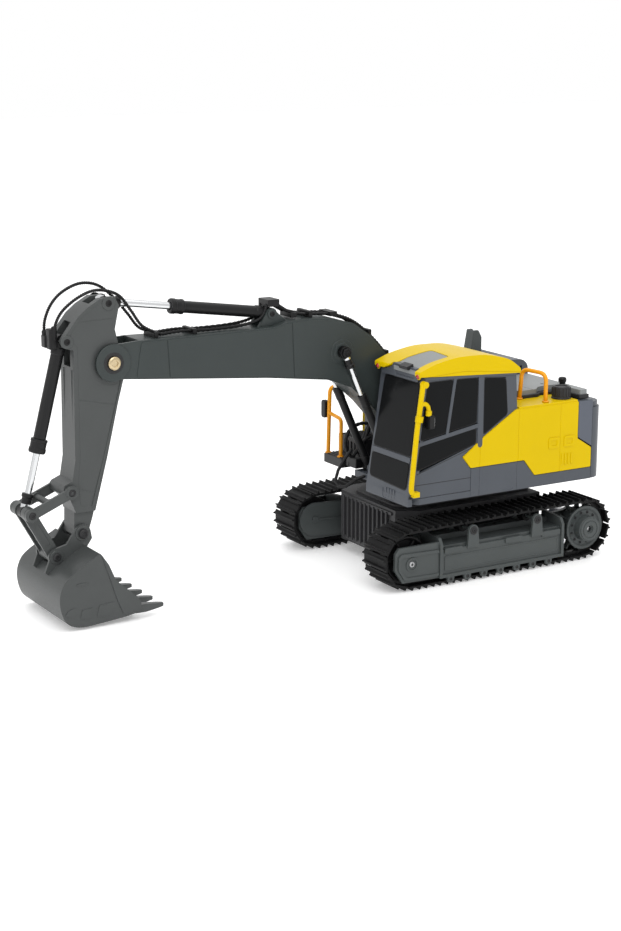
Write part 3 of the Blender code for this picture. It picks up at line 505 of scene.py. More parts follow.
LOOKS = {
    "boom_grey": plastic("boom_grey", (0.027, 0.034, 0.0335), 0.4, coat=0.04, specular=0.3),
    "arm_grey": plastic("arm_grey", (0.05, 0.054, 0.0535), 0.4, coat=0.04, specular=0.3),
    "frame_grey": plastic("frame_grey", (0.05, 0.057, 0.057), 0.42, specular=0.3),
    "body_grey": plastic("body_grey", (0.056, 0.063, 0.075), 0.4, coat=0.04, specular=0.3),
    "strip_grey": plastic("strip_grey", (0.075, 0.085, 0.108), 0.4, coat=0.05, specular=0.35),
    "deck_grey": plastic("deck_grey", (0.2, 0.21, 0.21), 0.45, specular=0.35),
    "dark_grey": plastic("dark_grey", (0.017, 0.017, 0.018), 0.45, specular=0.3),
    "carbody_grey": plastic("carbody_grey", (0.034, 0.034, 0.036), 0.45, specular=0.3),
    "black": plastic("black", (0.006, 0.006, 0.0065), 0.42, mottle=0.15, specular=0.25),
    "rubber": plastic("rubber", (0.004, 0.004, 0.0043), 0.55, mottle=0.2, specular=0.16,
                      dust=((0.014, 0.014, 0.015), 0.5)),
    "hose": plastic("hose", (0.005, 0.005, 0.0055), 0.5, mottle=0.2, specular=0.25),
    "yellow": plastic("yellow", (0.58, 0.405, 0.0), 0.34, mottle=0.02, coat=0.02, specular=0.08),
    "orange": plastic("orange", (0.72, 0.29, 0.004), 0.38, mottle=0.03, specular=0.3),
    "glass": plastic(
        "glass", (0.007, 0.0075, 0.008), 0.18, mottle=0.05, spread=0.02, grain=0.001, specular=0.06,
    ),
    "lamp_red": plastic("lamp_red", (0.32, 0.01, 0.008), 0.2, coat=0.5),
    "chrome": plastic(
        "chrome", (0.62, 0.63, 0.64), 0.14, metallic=1.0, mottle=0.02, spread=0.05, grain=0.002,
    ),
    "steel": plastic("steel", (0.42, 0.42, 0.43), 0.32, metallic=1.0, mottle=0.06),
    "brass": plastic("brass", (0.52, 0.42, 0.26), 0.3, metallic=1.0, mottle=0.06),
    "board": plastic("board", (0.015, 0.12, 0.04), 0.5),
    "battery": plastic("battery", (0.02, 0.06, 0.25), 0.35),
}

def both(*names):
    """The names of these nodes on the left and on the right."""
    return tuple(f"{side_name}_{name}" for side_name, _ in SIDES for name in names)


CAD_LOOKS = {
    "boom_grey": ("boom",),
    "arm_grey": ("arm", "rocker", "bucket_link", "bucket"),
    "frame_grey": both("track_frame", "sprocket"),
    "body_grey": ("cab_shell", "housing", "upper_frame", "counterweight", "engine_hood"),
    "deck_grey": ("deck_cover",),
    "carbody_grey": ("carbody",),
    "dark_grey": ("exhaust_stack", "filler_cap", "step_box", "bucket_pin"),
    "black": (*both("mirror", "boom_barrel"), "arm_barrel", "bucket_barrel", "power_switch", "boom_hoses",
              "base_hose", "arm_hose_inner", "arm_hose_outer"),
    "rubber": both("track_belt", "idler", "lower_rollers", "carrier_roller_1", "carrier_roller_2"),
    "yellow": (*both("panel"), "cab_roof", "cab_grab_rail"),
    "orange": ("deck_handrail", "front_handrail"),
    "glass": ("cab_glazing",),
    "chrome": (*both("boom_rod"), "arm_rod", "bucket_rod"),
    "steel": (*both("drive_motor"), "swing_ring", "boom_foot_pin", "swing_motor"),
    "brass": ("arm_pin",),
    "board": ("control_board",),
    "battery": ("battery_pack",),
}


def dress_frame():
    """Gives each CAD node its material and rounded edges."""
    for look, names in CAD_LOOKS.items():
        for name in names:
            dress(frame["nodes"][name], look)
            soften(frame["nodes"][name], CAD_BEVEL)


# Undercarriage pieces


def sided(sign, low, high):
    return (sign * low, sign * high)


def track_loop(clearance, steps=40):
    """The track's side view at this distance outside the surface that rolls on the wheels."""
    idler_radius = IDLER_ROLL + clearance
    sprocket_radius = SPROCKET_ROLL + clearance
    run = math.dist(IDLER_AXLE, SPROCKET_AXLE)
    lean = math.degrees(math.asin((sprocket_radius - idler_radius) / run))
    slope = math.degrees(math.atan2(SPROCKET_AXLE[1] - IDLER_AXLE[1], run))
    top, bottom = 90 - slope - lean, -90 - slope + lean
    ahead_end = arc(IDLER_AXLE, idler_radius, bottom, top, steps)
    return ahead_end + arc(SPROCKET_AXLE, sprocket_radius, top, 360 + bottom, steps)


def link_frames():
    """For each link of the track, its middle below the shoe and its directions along and outwards."""
    loop = track_loop(CHAIN_HEIGHT)
    closed = loop + loop[:1]
    lengths = [math.dist(a, b) for a, b in zip(closed, closed[1:])]
    total = sum(lengths)
    count = round(total / LINK_PITCH)
    pitch = total / count

    def place_at(reach):
        reach %= total
        for start, end, length in zip(closed, closed[1:], lengths):
            if reach <= length:
                return Vector(beyond(start, end, reach)) if reach > 0 else Vector(start)
            reach -= length
        return Vector(closed[0])

    for link in range(count):
        first, last = place_at(link * pitch), place_at((link + 1) * pitch)
        along = (last - first).normalized()
        yield (first + last) / 2, along, Vector((along.y, -along.x)), pitch


def placed(points, middle, along, out):
    return [tuple(middle + along * u + out * v) for u, v in points]


def track_belt(name, sign):
    """Two-bar shoes on a chain of paired plates with bushings."""
    shoe = [(-5.7, 0), (5.7, 0), (5.7, 0.9), (4.2, 1.5), (3.7, 3.3), (2.8, 3.3), (2.2, 1.4)]
    shoe += [(-2.2, 1.4), (-2.8, 3.3), (-3.7, 3.3), (-4.2, 1.5), (-5.7, 1.1)]
    plate = oblong((-6.0, -CHAIN_HEIGHT), (6.0, 0.3), 1.2, 3)
    shoes, chain = [], []
    for middle, along, out, pitch in link_frames():
        shoes.append(side(placed(shoe, middle, along, out), sided(sign, *SHOE_X)))
        for low, high in ((-8.8, -5.4), (5.4, 8.8)):
            chain.append(side(placed(plate, middle, along, out), sided(sign, TRACK_X + low, TRACK_X + high)))
        joint = placed([(pitch / 2, -1.2)], middle, along, out)[0]
        for low, high in ((-9.5, -4.9), (4.9, 9.5)):
            chain.append(across(sided(sign, TRACK_X + low, TRACK_X + high), joint, 1.05, 12))
    piece(f"{name}_shoes", "undercarriage", "rubber", shoes, bevel=0.22, replaces=(f"{name}_track_belt",))
    piece(f"{name}_chain", "undercarriage", "black", chain, bevel=0.15)


def track_frame_trim(name, sign):
    """The plate's tabs, the faces of the rollers, the bolts, and both cheeks of the idler yoke."""
    face = PLATE_X[1]
    tabs = [
        side(oblong((low, 24.4), (high, 28.6), 1.2), sided(sign, 79.4, face - 0.2))
        for low, high in ((25.7, 41.5), (-29.4, -13.6), (-65.1, -47.7))
    ]
    panel = side(oblong((FRAME_REAR + 5, 11.2), (FRAME_AHEAD - 5, 22.6), 1.6), sided(sign, 80.8, 81.4))
    seam = side(oblong((FRAME_REAR + 6, 12.2), (FRAME_AHEAD - 6, 21.6), 1.2), sided(sign, 81.1, 82.0))
    piece(f"{name}_frame_tabs", "undercarriage", "frame_grey", [*tabs, panel], [seam], bevel=0.25)
    caps, rollers = [], []
    rim = [(face - 0.6, 3.4), (face + 0.5, 3.1), (face + 0.5, 1.9), (face - 0.6, 1.7)]
    for ahead in CARRIER_AHEAD:
        caps.append(turned(rim, (ahead, CARRIER_UP), 32, sign))
        caps.append(bolt(sign * (face - 0.3), (ahead, CARRIER_UP), 1.6, sign * 1.1))
    for number in range(ROLLER_COUNT):
        share = number / (ROLLER_COUNT - 1)
        middle = (FIRST_ROLLER_AHEAD + (LAST_ROLLER_AHEAD - FIRST_ROLLER_AHEAD) * share, ROLLER_UP - 1.2)
        rollers.append(across(sided(sign, 79.9, face + 0.3), middle, 2.9, 32))
        caps.append(bolt(sign * (face + 0.2), middle, 1.3, sign * 0.6))
    piece(f"{name}_roller_faces", "undercarriage", "frame_grey", rollers, bevel=0.35)
    piece(f"{name}_frame_bolts", "undercarriage", "dark_grey", caps, bevel=0.08)
    outline = [(46.5, 28.6), (79.4, 29.6), (81.8, 27.6), (82.2, 18.2), (76.6, 9.4), (46.5, 8.6)]
    inner = [(46.5, 26.2), (77.6, 26.8), (79.6, 25.6), (79.8, 18.8), (75.2, 11.4), (46.5, 10.8)]
    cheek = side(rounded(outline, 1.6), sided(sign, 80.6, 82.2))
    hollow = side(rounded(inner, 1.4), sided(sign, 81.5, 84))
    boss = [(80.6, 5.6), (82.2, 5.2), (82.2, 4.0), (81.6, 3.8), (80.6, 3.8)]
    collar = turned(boss, YOKE_SCREW, 40, sign)
    piece(f"{name}_yoke_cheek", "undercarriage", "frame_grey", [cheek], [hollow], [collar], bevel=0.35)
    inner_face = side(bar_outline(IDLER_AXLE, (50.0, 22.0), 13.4, 16), sided(sign, 53.2, 54.8))
    ridge = side(bar_outline((66.0, 23.0), (46.0, 21.8), 0.8, 6), sided(sign, 52.4, 53.6))
    hub = across(sided(sign, 52.0, 53.6), IDLER_AXLE, 2.4, 32)
    piece(f"{name}_inner_cheek", "undercarriage", "frame_grey", [inner_face], (), [ridge, hub], bevel=0.4)
    screw = bolt(sign * 80.8, YOKE_SCREW, 2.3, sign * 1.3)
    piece(f"{name}_yoke_screw", "undercarriage", "steel", [screw], bevel=0.1)


def wheel_trim(name, sign):
    """The sprocket's bolt circle, hub cap and rim, and the idler's spokes."""
    sprocket = f"{name}_sprocket"
    circle = arc(SPROCKET_AXLE, 12.1, 15, 345, SPROCKET_BOLTS - 1)
    bolts = [bolt(sign * 75.6, place, 1.1, sign * 0.9) for place in circle]
    piece(f"{sprocket}_bolts", sprocket, "dark_grey", bolts, bevel=0.06)
    cap = turned([(82.6, 9.2), (83.9, 8.6), (83.9, 3.3), (82.6, 2.8)], SPROCKET_AXLE, 48, sign)
    groove = [(83.5, 7.0), (84.4, 7.0), (84.4, 6.2), (83.5, 6.2), (83.5, 7.0)]
    cut = turned(groove, SPROCKET_AXLE, 48, sign)
    piece(f"{name}_hub_cap", sprocket, "frame_grey", [cap], [cut], bevel=0.25)
    rim = [(75.2, 17.2), (76.4, 17.0), (77.0, 16.2), (76.8, 14.6), (75.2, 14.0), (75.2, 17.2)]
    piece(f"{sprocket}_rim", sprocket, "frame_grey", [turned(rim, SPROCKET_AXLE, 64, sign)], bevel=0.15)
    spokes = []
    for number in range(IDLER_SPOKES):
        turn = Matrix.Rotation(2 * math.pi * number / IDLER_SPOKES, 2)
        outline = [(6.0, -1.0), (14.6, -0.7), (14.6, 0.7), (6.0, 1.0)]
        points = [tuple(Vector(IDLER_AXLE) + turn @ Vector(point)) for point in outline]
        spokes.append(side(points, sided(sign, 71.5, 74.2)))
    piece(f"{name}_idler_spokes", f"{name}_idler", "black", spokes, bevel=0.25)


def carbody_trim():
    """Upright ribs on the front of the carbody, its cover plates, and the rings of the swing bearing."""
    ribs = [box((x - 0.9, x + 0.9), (54.5, 58.2), (13, 46)) for x in range(-32, 33, 6)]
    ribs += [box((-34, 34), (55.0, 57.2), up) for up in ((12.0, 14.5), (44.5, 47.0))]
    slope = [(47.2, 38), (38.0, 56.4), (36.4, 55.6), (45.4, 37.2)]
    ribs += [plan([(sign * x, ahead) for x, ahead in slope], (13, 47)) for sign in SIGNS]
    piece("carbody_ribs", "undercarriage", "carbody_grey", ribs, bevel=0.4)
    plate = [(-36, -71), (36, -71), (36, 38), (28, 50), (-28, 50), (-36, 38)]
    piece("carbody_cover", "undercarriage", "carbody_grey", [plan(rounded(plate, 4), (48.6, 50.4))],
          bevel=0.4)
    rear = [(-40, 20), (40, 20), (38, 44), (-38, 44)]
    piece("carbody_rear_plate", "undercarriage", "frame_grey", [front(rounded(rear, 2), (-73.2, -71.5))])
    screws = [seat(x, ahead, 50.0, [(0, 1.7), (1, 1.4)], 20) for x in (-31, 31) for ahead in (-60, -20, 25)]
    piece("carbody_screws", "undercarriage", "steel", screws, bevel=0.1)
    race = [(-0.7, 30.8), (0.7, 30.8), (0.7, 29.6), (-0.7, 29.6), (-0.7, 30.8)]
    races = [seat(0, 0, up, race, 72) for up in (55.6, 58.6, 61.6)]
    piece("swing_ring_races", "undercarriage", "dark_grey", races, bevel=0.15)


def undercarriage_pieces():
    for name, sign in SIDES:
        track_belt(name, sign)
        track_frame_trim(name, sign)
        wheel_trim(name, sign)
    carbody_trim()


# Boom, arm and bucket pieces


BOOM_EDGE = [
    (255.5, 164.5), (150.4, 155.0), (99.8, 148.6), (80.0, 141.0), (62.0, 125.0), (40.0, 101.0),
    (14.1, 83.7), (9.3, 80.7), (2.2, 83.3), (2.2, 92.8), (22.0, 124.0), (47.3, 161.0), (62.8, 178.0),
    (77.7, 188.4), (95.5, 193.6), (113.0, 195.0), (131.7, 194.5), (145.3, 191.2), (237.5, 190.7), (251.0, 191.0),
]
ARM_EDGE = [
    (279.0, 221.5), (288.0, 216.5), (295.0, 211.0), (301.5, 203.0), (305.0, 198.5), (299.0, 188.6),
    (299.5, 112.0), (301.2, 99.0), (300.5, 84.5), (300.0, 76.5), (288.6, 76.5), (276.5, 112.0), (264.5, 161.0),
    (263.0, 176.0), (268.5, 200.0), (265.0, 216.0), (268.0, 222.0),
]


def narrowed(outline, width):
    """A closed outline with every edge moved inwards by width."""
    area = sum(a[0] * b[1] - b[0] * a[1] for a, b in zip(outline, outline[1:] + outline[:1]))
    turn = 1 if area > 0 else -1
    moved = []
    for before, corner, after in zip(outline[-1:] + outline[:-1], outline, outline[1:] + outline[:1]):
        first = (Vector(corner) - Vector(before)).normalized()
        second = (Vector(after) - Vector(corner)).normalized()
        inwards = [Vector((-run.y, run.x)) * turn for run in (first, second)]
        middle = (inwards[0] + inwards[1]).normalized()
        moved.append(tuple(Vector(corner) + middle * width / max(middle.dot(inwards[0]), 0.4)))
    return moved


def washer(x, centre, inner, outer, height, sign, sides=48):
    """A flat ring on a side face, with a softened outer edge."""
    rim = ((0, outer), (0.7, outer), (1, outer - 0.3), (1, inner), (0, inner), (0, outer))
    return turned([(x + height * share, radius) for share, radius in rim], centre, sides, sign)


def boom_pieces():
    skins, shapes, dark = [], [], []
    for sign in SIGNS:
        depth = sided(sign, BOOM_HALF - 0.5, BOOM_HALF + 0.45)
        skins.append(side(rounded(narrowed(BOOM_EDGE, 1.1), 2.5), depth))
        shapes.append(washer(BOOM_HALF - 0.2, ARM_PIVOT, 5.4, 13.0, 1.3, sign, 64))
        shapes.append(washer(BOOM_HALF, BOOM_ROD_PIN, 3.0, 9.4, 0.9, sign, 64))
        shapes.append(washer(9.2, BOOM_FOOT, 3.4, 7.4, 0.6, sign))
        shapes.append(hex_nut(sign * (BOOM_HALF + 0.2), BOOM_ROD_PIN, 6.4, sign * 1.2))
        shapes.append(side(arc(ARM_BARREL_PIN, 3.6, 0, 345, 23), sided(sign, 7.2, 8.2)))
        dark.append(hex_nut(sign * 19.9, BOOM_ROD_PIN, 3.3, sign * 2.2))
        dark.append(washer(BOOM_HALF + 1.0, BOOM_ROD_PIN, 1.8, 4.4, 1.0, sign))
        dark.append(bolt(sign * 8.0, ARM_BARREL_PIN, 2.0, sign * 1.0))
    ends = (((228.0, 150), (231.0, 200)), ((128.0, 140), (131.0, 205)), ((60.0, 110), (47.0, 175)))
    seams = [strip(start, end, 0.35, ACROSS_ALL) for start, end in ends]
    piece("boom_skins", "boom", "boom_grey", skins, seams, bevel=0.3)
    piece("boom_bosses", "boom", "boom_grey", shapes, bevel=0.25)
    piece("boom_nuts", "boom", "black", dark, bevel=0.1)
    brass = [bolt(sign * 15.6, ARM_PIVOT, 4.7, sign * 1.6) for sign in SIGNS]
    piece("arm_pivot_screws", "boom", "brass", brass, bevel=0.12)
    rings = [washer(BOOM_HALF + 0.8, ARM_PIVOT, 5.0, 7.4, 0.6, sign, 48) for sign in SIGNS]
    piece("arm_pivot_rings", "boom", "dark_grey", rings, bevel=0.12)
    clamps = []
    for ahead, up in ((236.0, 191.6), (206.0, 191.4), (112.0, 196.4), (61.0, 178.6), (45.5, 161.6)):
        clamps.append(box((-9, 9), (ahead - 1.6, ahead + 1.6), (up - 1.8, up + 3.4)))
    piece("hose_clamps", "boom", "black", clamps, bevel=0.8, segments=3)


OUTER_HOSE = [
    (310.2, 196.0), (309.8, 204.0), (305.0, 213.5), (295.0, 221.5), (283.0, 226.5),
    (272.0, 226.0), (262.0, 221.5), (253.5, 211.0), (245.0, 199.5), (232.0, 192.9),
]
INNER_HOSE = [
    (313.6, 196.0), (313.2, 207.0), (308.0, 218.0), (299.0, 226.0), (286.0, 230.6),
    (273.0, 228.5), (261.0, 219.0), (251.5, 207.5), (243.0, 197.0), (232.0, 192.9),
]
HOSE_SPREAD = [0.9, 0.9, 1.0, 1.1, 1.2, 1.2, 1.15, 1.0, 1.0, 1.0]
BACK_HOSES = [
    (140.0, 207.5), (130.0, 201.0), (118.0, 197.6), (95.0, 195.8), (76.0, 189.9), (60.5, 178.6),
    (45.0, 162.2), (30.0, 140.0),
]
TOP_HOSES = [(232.0, 192.4), (215.0, 193.4), (195, 192.6), (168, 193.4), (152, 197.0), (146, 206)]
FOOT_HOSE = [
    (-15.4, 26, 82), (-22, 30, 95), (-27, 40, 102), (-30, 52, 99), (-31, 57, 88), (-30, 54, 78), (-29, 48, 74),
]


def wound_hose(route, steps, radius, sides=16):
    """A hose whose wound cover rises and falls along it."""
    places = smooth_route(route, steps)
    return tube(places, radius, sides, [radius + 0.22 * math.sin(2.1 * n) for n in range(len(places))])


def hose_pieces():
    """Hoses with a wound cover. The two at the arm are attached to no body."""
    for name, x, route in (("outer", 5.0, OUTER_HOSE), ("inner", -5.0, INNER_HOSE)):
        shape = wound_hose([(x * share, *place) for share, place in zip(HOSE_SPREAD, route)], 24, 1.05)
        made = piece(f"arm_hose_{name}_cover", None, "hose", [shape], bevel=0, replaces=(f"arm_hose_{name}",))
        tuple(world(x, 243.0, 197.0))
        tuple(world(x, 286.0, 228.0))
        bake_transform(made)
    runs = []
    for x in (-5.0, 5.0):
        runs.append(wound_hose([(x, *place) for place in BACK_HOSES], 24, 1.15))
        ends = [x] * (len(TOP_HOSES) - 1) + [x * 0.9]
        runs.append(wound_hose([(out, *place) for out, place in zip(ends, TOP_HOSES)], 18, 1.15))
    piece("boom_hose_covers", "boom", "hose", runs, bevel=0)
    piece("foot_hose", "upper", "hose", [wound_hose(FOOT_HOSE, 12, 1.4, 14)], bevel=0)


ARM_BEAD = [
    (262.4, 168.0), (266.6, 153.0), (278.0, 112.0), (288.0, 78.0),
    (289.4, 78.4), (279.6, 112.0), (268.2, 153.0), (264.6, 168.0),
]


def arm_pieces():
    skins, rings, bolts = [], [], []
    for sign in SIGNS:
        depth = sided(sign, ARM_HALF - 0.5, ARM_HALF + 0.14)
        skins.append(side(rounded(narrowed(ARM_EDGE, 2.6), 3.0), depth))
        rings.append(washer(ARM_HALF - 0.2, ARM_ROD_PIN, 1.8, 4.8, 0.9, sign))
        rings.append(washer(ARM_HALF - 0.2, BUCKET_BARREL_PIN, 1.8, 4.6, 0.8, sign))
        rings.append(side(ARM_BEAD, sided(sign, ARM_HALF, ARM_HALF + 0.6)))
        bolts.append(bolt(sign * (ARM_HALF + 0.2), ARM_ROD_PIN, 2.4, sign * 1.1))
        bolts.append(bolt(sign * (ARM_HALF + 0.2), BUCKET_BARREL_PIN, 2.3, sign * 1.1))
    keep_clear = across(ACROSS_ALL, ARM_PIVOT, 15.6, 64)
    lines = (((262, 146.2), (302, 155.2)), ((278, 85.6), (304, 93.2)), ((262, 207.8), (300, 207.0)))
    seams = [side(bar_outline(start, end, 0.35, 3), ACROSS_ALL) for start, end in lines]
    piece("arm_skins", "arm", "arm_grey", skins, [keep_clear, *seams], bevel=0.25)
    rings += [box(x, (299.2, 300.2), (112.0, 174.0)) for x in ((-7.6, -5.4), (5.4, 7.6))]
    piece("arm_bosses", "arm", "arm_grey", rings, bevel=0.2)
    piece("arm_bolts", "arm", "black", bolts, bevel=0.1)
    ends = [
        box((-6.4, 0.2), (309.8, 315.6), (189.5, 198.0)),
        box((-0.4, 6.2), (309.0, 314.6), (189.0, 203.0)),
    ]
    for x, ahead, top in ((4.5, 310.4, 204.6), (-4.5, 313.6, 201.0)):
        ends.append(rod((x, ahead, 195.0), (x, ahead, top), 1.9, sides=24))
    piece("hose_connectors", "arm", "black", ends, bevel=0.8)


def bar_outline(start, end, half_height, steps=10):
    """A bar's side view with round ends."""
    lean = math.degrees(math.atan2(end[1] - start[1], end[0] - start[0]))
    first = arc(start, half_height, lean + 90, lean + 270, steps)
    return first + arc(end, half_height, lean - 90, lean + 90, steps)


def linkage_pieces():
    """The rocker's two bars with their spacer, and the cast link down to the bucket."""
    shapes, bolts, rails, bosses, pockets = [], [], [], [], []
    middle = between(ROCKER_PIVOT, ROD_END_PIVOT, 0.52)
    hollow = [between(ROD_END_PIVOT, LINK_PIVOT, share) for share in (0.3, 0.7)]
    for sign in SIGNS:
        shapes.append(side(bar_outline(ROCKER_PIVOT, ROD_END_PIVOT, 3.5), sided(sign, 11.9, 14.2)))
        for place in (ROCKER_PIVOT, ROD_END_PIVOT):
            shapes.append(across(sided(sign, 11.5, 14.5), place, 4.8, 40))
            shapes.append(washer(14.3, place, 2.6, 4.0, 0.6, sign, 40))
            bolts.append(bolt(sign * 14.3, place, 2.5, sign * 1.2))
        shapes.append(across(sided(sign, 10.2, 12.2), middle, 3.4, 32))
        rails.append(side(bar_outline(ROD_END_PIVOT, LINK_PIVOT, 4.4), sided(sign, 5.9, 8.4)))
        bosses.append(across(sided(sign, 5.0, 11.1), ROD_END_PIVOT, 4.8, 40))
        pockets.append(side(rounded(bar_outline(*hollow, 2.1), 0.4), sided(sign, 8.0, 12)))
    shapes.append(across((-12.2, 12.2), middle, 2.4, 32))
    holes = [across(ACROSS_ALL, ROCKER_PIVOT, 2.2, 24)]
    pin = across((-14.0, 14.0), ROD_END_PIVOT, 2.0, 24)
    piece("rocker_body", "rocker", "arm_grey", shapes, holes, [pin], bevel=0.3, replaces=("rocker",))
    piece("rocker_bolts", "rocker", "dark_grey", bolts, bevel=0.1)

    web = side(bar_outline(ROD_END_PIVOT, LINK_PIVOT, 1.7), (-7.0, 7.0))
    lower = across((-8.7, 8.7), LINK_PIVOT, 5.0, 40)
    stiffeners = [
        across((-7.0, 7.0), between(ROD_END_PIVOT, LINK_PIVOT, share), 2.7, 20) for share in (0.34, 0.66)
    ]
    body = [web, *rails, *bosses, lower, *stiffeners]
    notch = across((-4.5, 4.5), ROD_END_PIVOT, 6.6, 40)
    cuts = [notch, *pockets]
    pin_holes = ((ROD_END_PIVOT, 2.3), (LINK_PIVOT, 3.5))
    cuts += [across(ACROSS_ALL, place, radius, 24) for place, radius in pin_holes]
    piece("bucket_link_body", "bucket_link", "arm_grey", body, cuts, bevel=0.3, replaces=("bucket_link",))


BUCKET_OUTER = [
    (295.8, 52.2), (290.4, 43.6), (285.0, 31.4), (271.5, 18.8), (270.0, 16.4), (266.4, 12.6), (266.4, 6.2),
    (279.0, 4.2), (312.0, 1.4), (322.2, 5.4), (326.4, 15.5), (327.0, 26.0), (323.6, 34.6), (318.5, 39.2), (304.0, 47.6),
]
BUCKET_INNER = [
    (297.5, 48.8), (303.2, 45.2), (316.8, 37.3), (322.2, 31.8), (324.4, 26.0), (323.3, 15.6),
    (319.0, 7.2), (312.0, 4.2), (279.0, 6.4), (250.0, 9.0), (230.0, 30.0), (280.0, 70.0),
]


BUCKET_CORNERS = [1.0, 3.0, 3.0, 6.0, 4.0, 0, 0, 2.0, 9.0, 7.0, 8.0, 7.0, 6.0, 5.0, 3.0]
BUCKET_CHEEK = [
    (295.2, 51.2), (290.0, 43.4), (285.0, 31.6), (268.0, 16.2), (266.4, 12.6), (266.4, 8.0), (279.6, 6.2),
    (283.6, 15.6),
]
BUCKET_PATCHES = (
    [(323.5, 11.8), (320.8, 15.5), (314.6, 17.0), (316.6, 9.8)],
    [(312.3, 8.2), (310.4, 14.6), (302.5, 15.0), (304.4, 7.7)],
    [(300.0, 7.8), (297.7, 15.9), (286.5, 16.5), (290.3, 7.0)],
)
TOOTH_WEDGE = [(272, 5.0), (272, 10.6), (262, 10.4), (246, 8.6), (246, 6.6), (262, 4.6)]
TEETH = 5


def bucket_tooth(middle):
    """A tooth that narrows to its tip from above and from the side."""
    half = [(3.0, 270), (2.4, 252), (1.4, 247.6)]
    finger = [(middle - half[0][0], 270)] + [(middle + out, ahead) for out, ahead in half]
    finger += [(middle - out, ahead) for out, ahead in half[:0:-1]]
    tooth = to_object(plan(rounded(finger, 0.8), (3, 12)), "tooth")
    combine(tooth, [side(TOOTH_WEDGE, (middle - 4, middle + 4))], "INTERSECT")
    shape = shape_of(tooth)
    bpy.data.objects.remove(tooth)
    return shape


def bucket_pieces():
    shell = side(rounded(BUCKET_OUTER, BUCKET_CORNERS, 6), (-BUCKET_HALF, BUCKET_HALF))
    cavity = side(rounded(BUCKET_INNER, 5.0, 6), (-BUCKET_HALF + 2.2, BUCKET_HALF - 2.2))
    room = across((-9.3, 9.3), LINK_PIVOT, 6.9, 40)
    ear = [(290.0, 56.0)] + arc(BUCKET_PIVOT, 6.2, 165, 45, 12)
    ear += [(309.0, 54.0)] + arc(LINK_PIVOT, 5.8, 80, -20, 10)
    ear += [(325.6, 36.0), (322.0, 33.0), (304.0, 44.0), (295.0, 49.0)]
    added = [side(ear, sided(sign, 9.5, 11.6)) for sign in SIGNS]
    turn = [math.radians(10 * number) for number in range(36)]
    oval = [(310.1 + 4.2 * math.cos(angle), 32.4 + 1.1 * math.sin(angle)) for angle in turn]
    for sign in SIGNS:
        for place, radius in ((BUCKET_PIVOT, 5.4), (LINK_PIVOT, 4.9)):
            added.append(washer(11.4, place, 2.4, radius, 0.9, sign, 40))
        low = BUCKET_HALF - 0.4
        added.append(side(rounded(BUCKET_CHEEK, 0.8), sided(sign, low, BUCKET_HALF + 0.6)))
        for patch in BUCKET_PATCHES:
            added.append(side(rounded(patch, 0.8), sided(sign, low, BUCKET_HALF + 0.3)))
        added.append(side(oval, sided(sign, low, BUCKET_HALF + 0.35)))
    piece("bucket_shell", "bucket", "arm_grey", [shell], [cavity, room], added, bevel=0.35, segments=3,
          replaces=("bucket",))
    spacing = (BUCKET_HALF - 4.0) / 2
    teeth = [bucket_tooth((number - TEETH // 2) * spacing) for number in range(TEETH)]
    piece("bucket_teeth", "bucket", "arm_grey", teeth, bevel=0.6, segments=3)
    bolts = [bolt(sign * 12.2, LINK_PIVOT, 3.0, sign * 1.6) for sign in SIGNS]
    pin = across((-13.0, 13.0), LINK_PIVOT, 1.7, 24)
    piece("bucket_link_bolts", "bucket", "dark_grey", [*bolts, pin], bevel=0.12)
    heads = [bolt(sign * 13.6, BUCKET_PIVOT, 3.5, sign * 1.4) for sign in SIGNS]
    piece("bucket_pin_heads", "arm", "dark_grey", heads, bevel=0.12)


def cylinder_trim(name, barrel, rod_body, x, pins, length, barrel_radius, gland, rod_radius):
    """A stepped gland and an end cap on the barrel, and a collar at the rod's eye."""
    def along_axis(profile, low, high, sides=40):
        first, last = ((x, *beyond(*pins, reach)) for reach in (low, high))
        return lathe(profile, first, last, sides)

    bore = rod_radius + 0.45
    profile = [
        (0, barrel_radius), (0.5, gland * 1.08), (2.2, gland * 1.08), (2.8, gland), (6.4, gland),
        (6.8, gland * 1.1),
        (9.4, gland * 1.1), (10.2, gland - 0.3), (10.2, bore), (0, bore), (0, barrel_radius),
    ]
    piece(f"{name}_gland", barrel, "black", [along_axis(profile, length - 9.6, length)], bevel=0.15)
    bore = rod_radius + 0.3
    tail = [
        (0, bore), (0, barrel_radius * 0.9), (1.2, barrel_radius * 1.1), (5.0, barrel_radius * 1.1),
        (5.8, barrel_radius), (5.8, bore), (0, bore),
    ]
    piece(f"{name}_end_cap", barrel, "black", [along_axis(tail, 4.6, 12)], bevel=0.15)
    wide, narrow = rod_radius + 1.7, rod_radius + 1.1
    collar = [(0, rod_radius + 0.05), (0.4, wide), (2.6, wide), (3.2, narrow), (7.5, narrow), (7.5, 0)]
    reach = math.dist(*pins)
    piece(f"{name}_rod_collar", rod_body, "black", [along_axis(collar, reach - 13.0, reach, 36)], bevel=0.15)


def rod_eye(rod_body, x, place, width, radius):
    near, far = x - width, x + width
    profile = [(near, radius), (far, radius), (far, 2.3), (near, 2.3), (near, radius)]
    piece(f"{rod_body}_eye", rod_body, "black", [turned(profile, place, 40)], bevel=0.25)


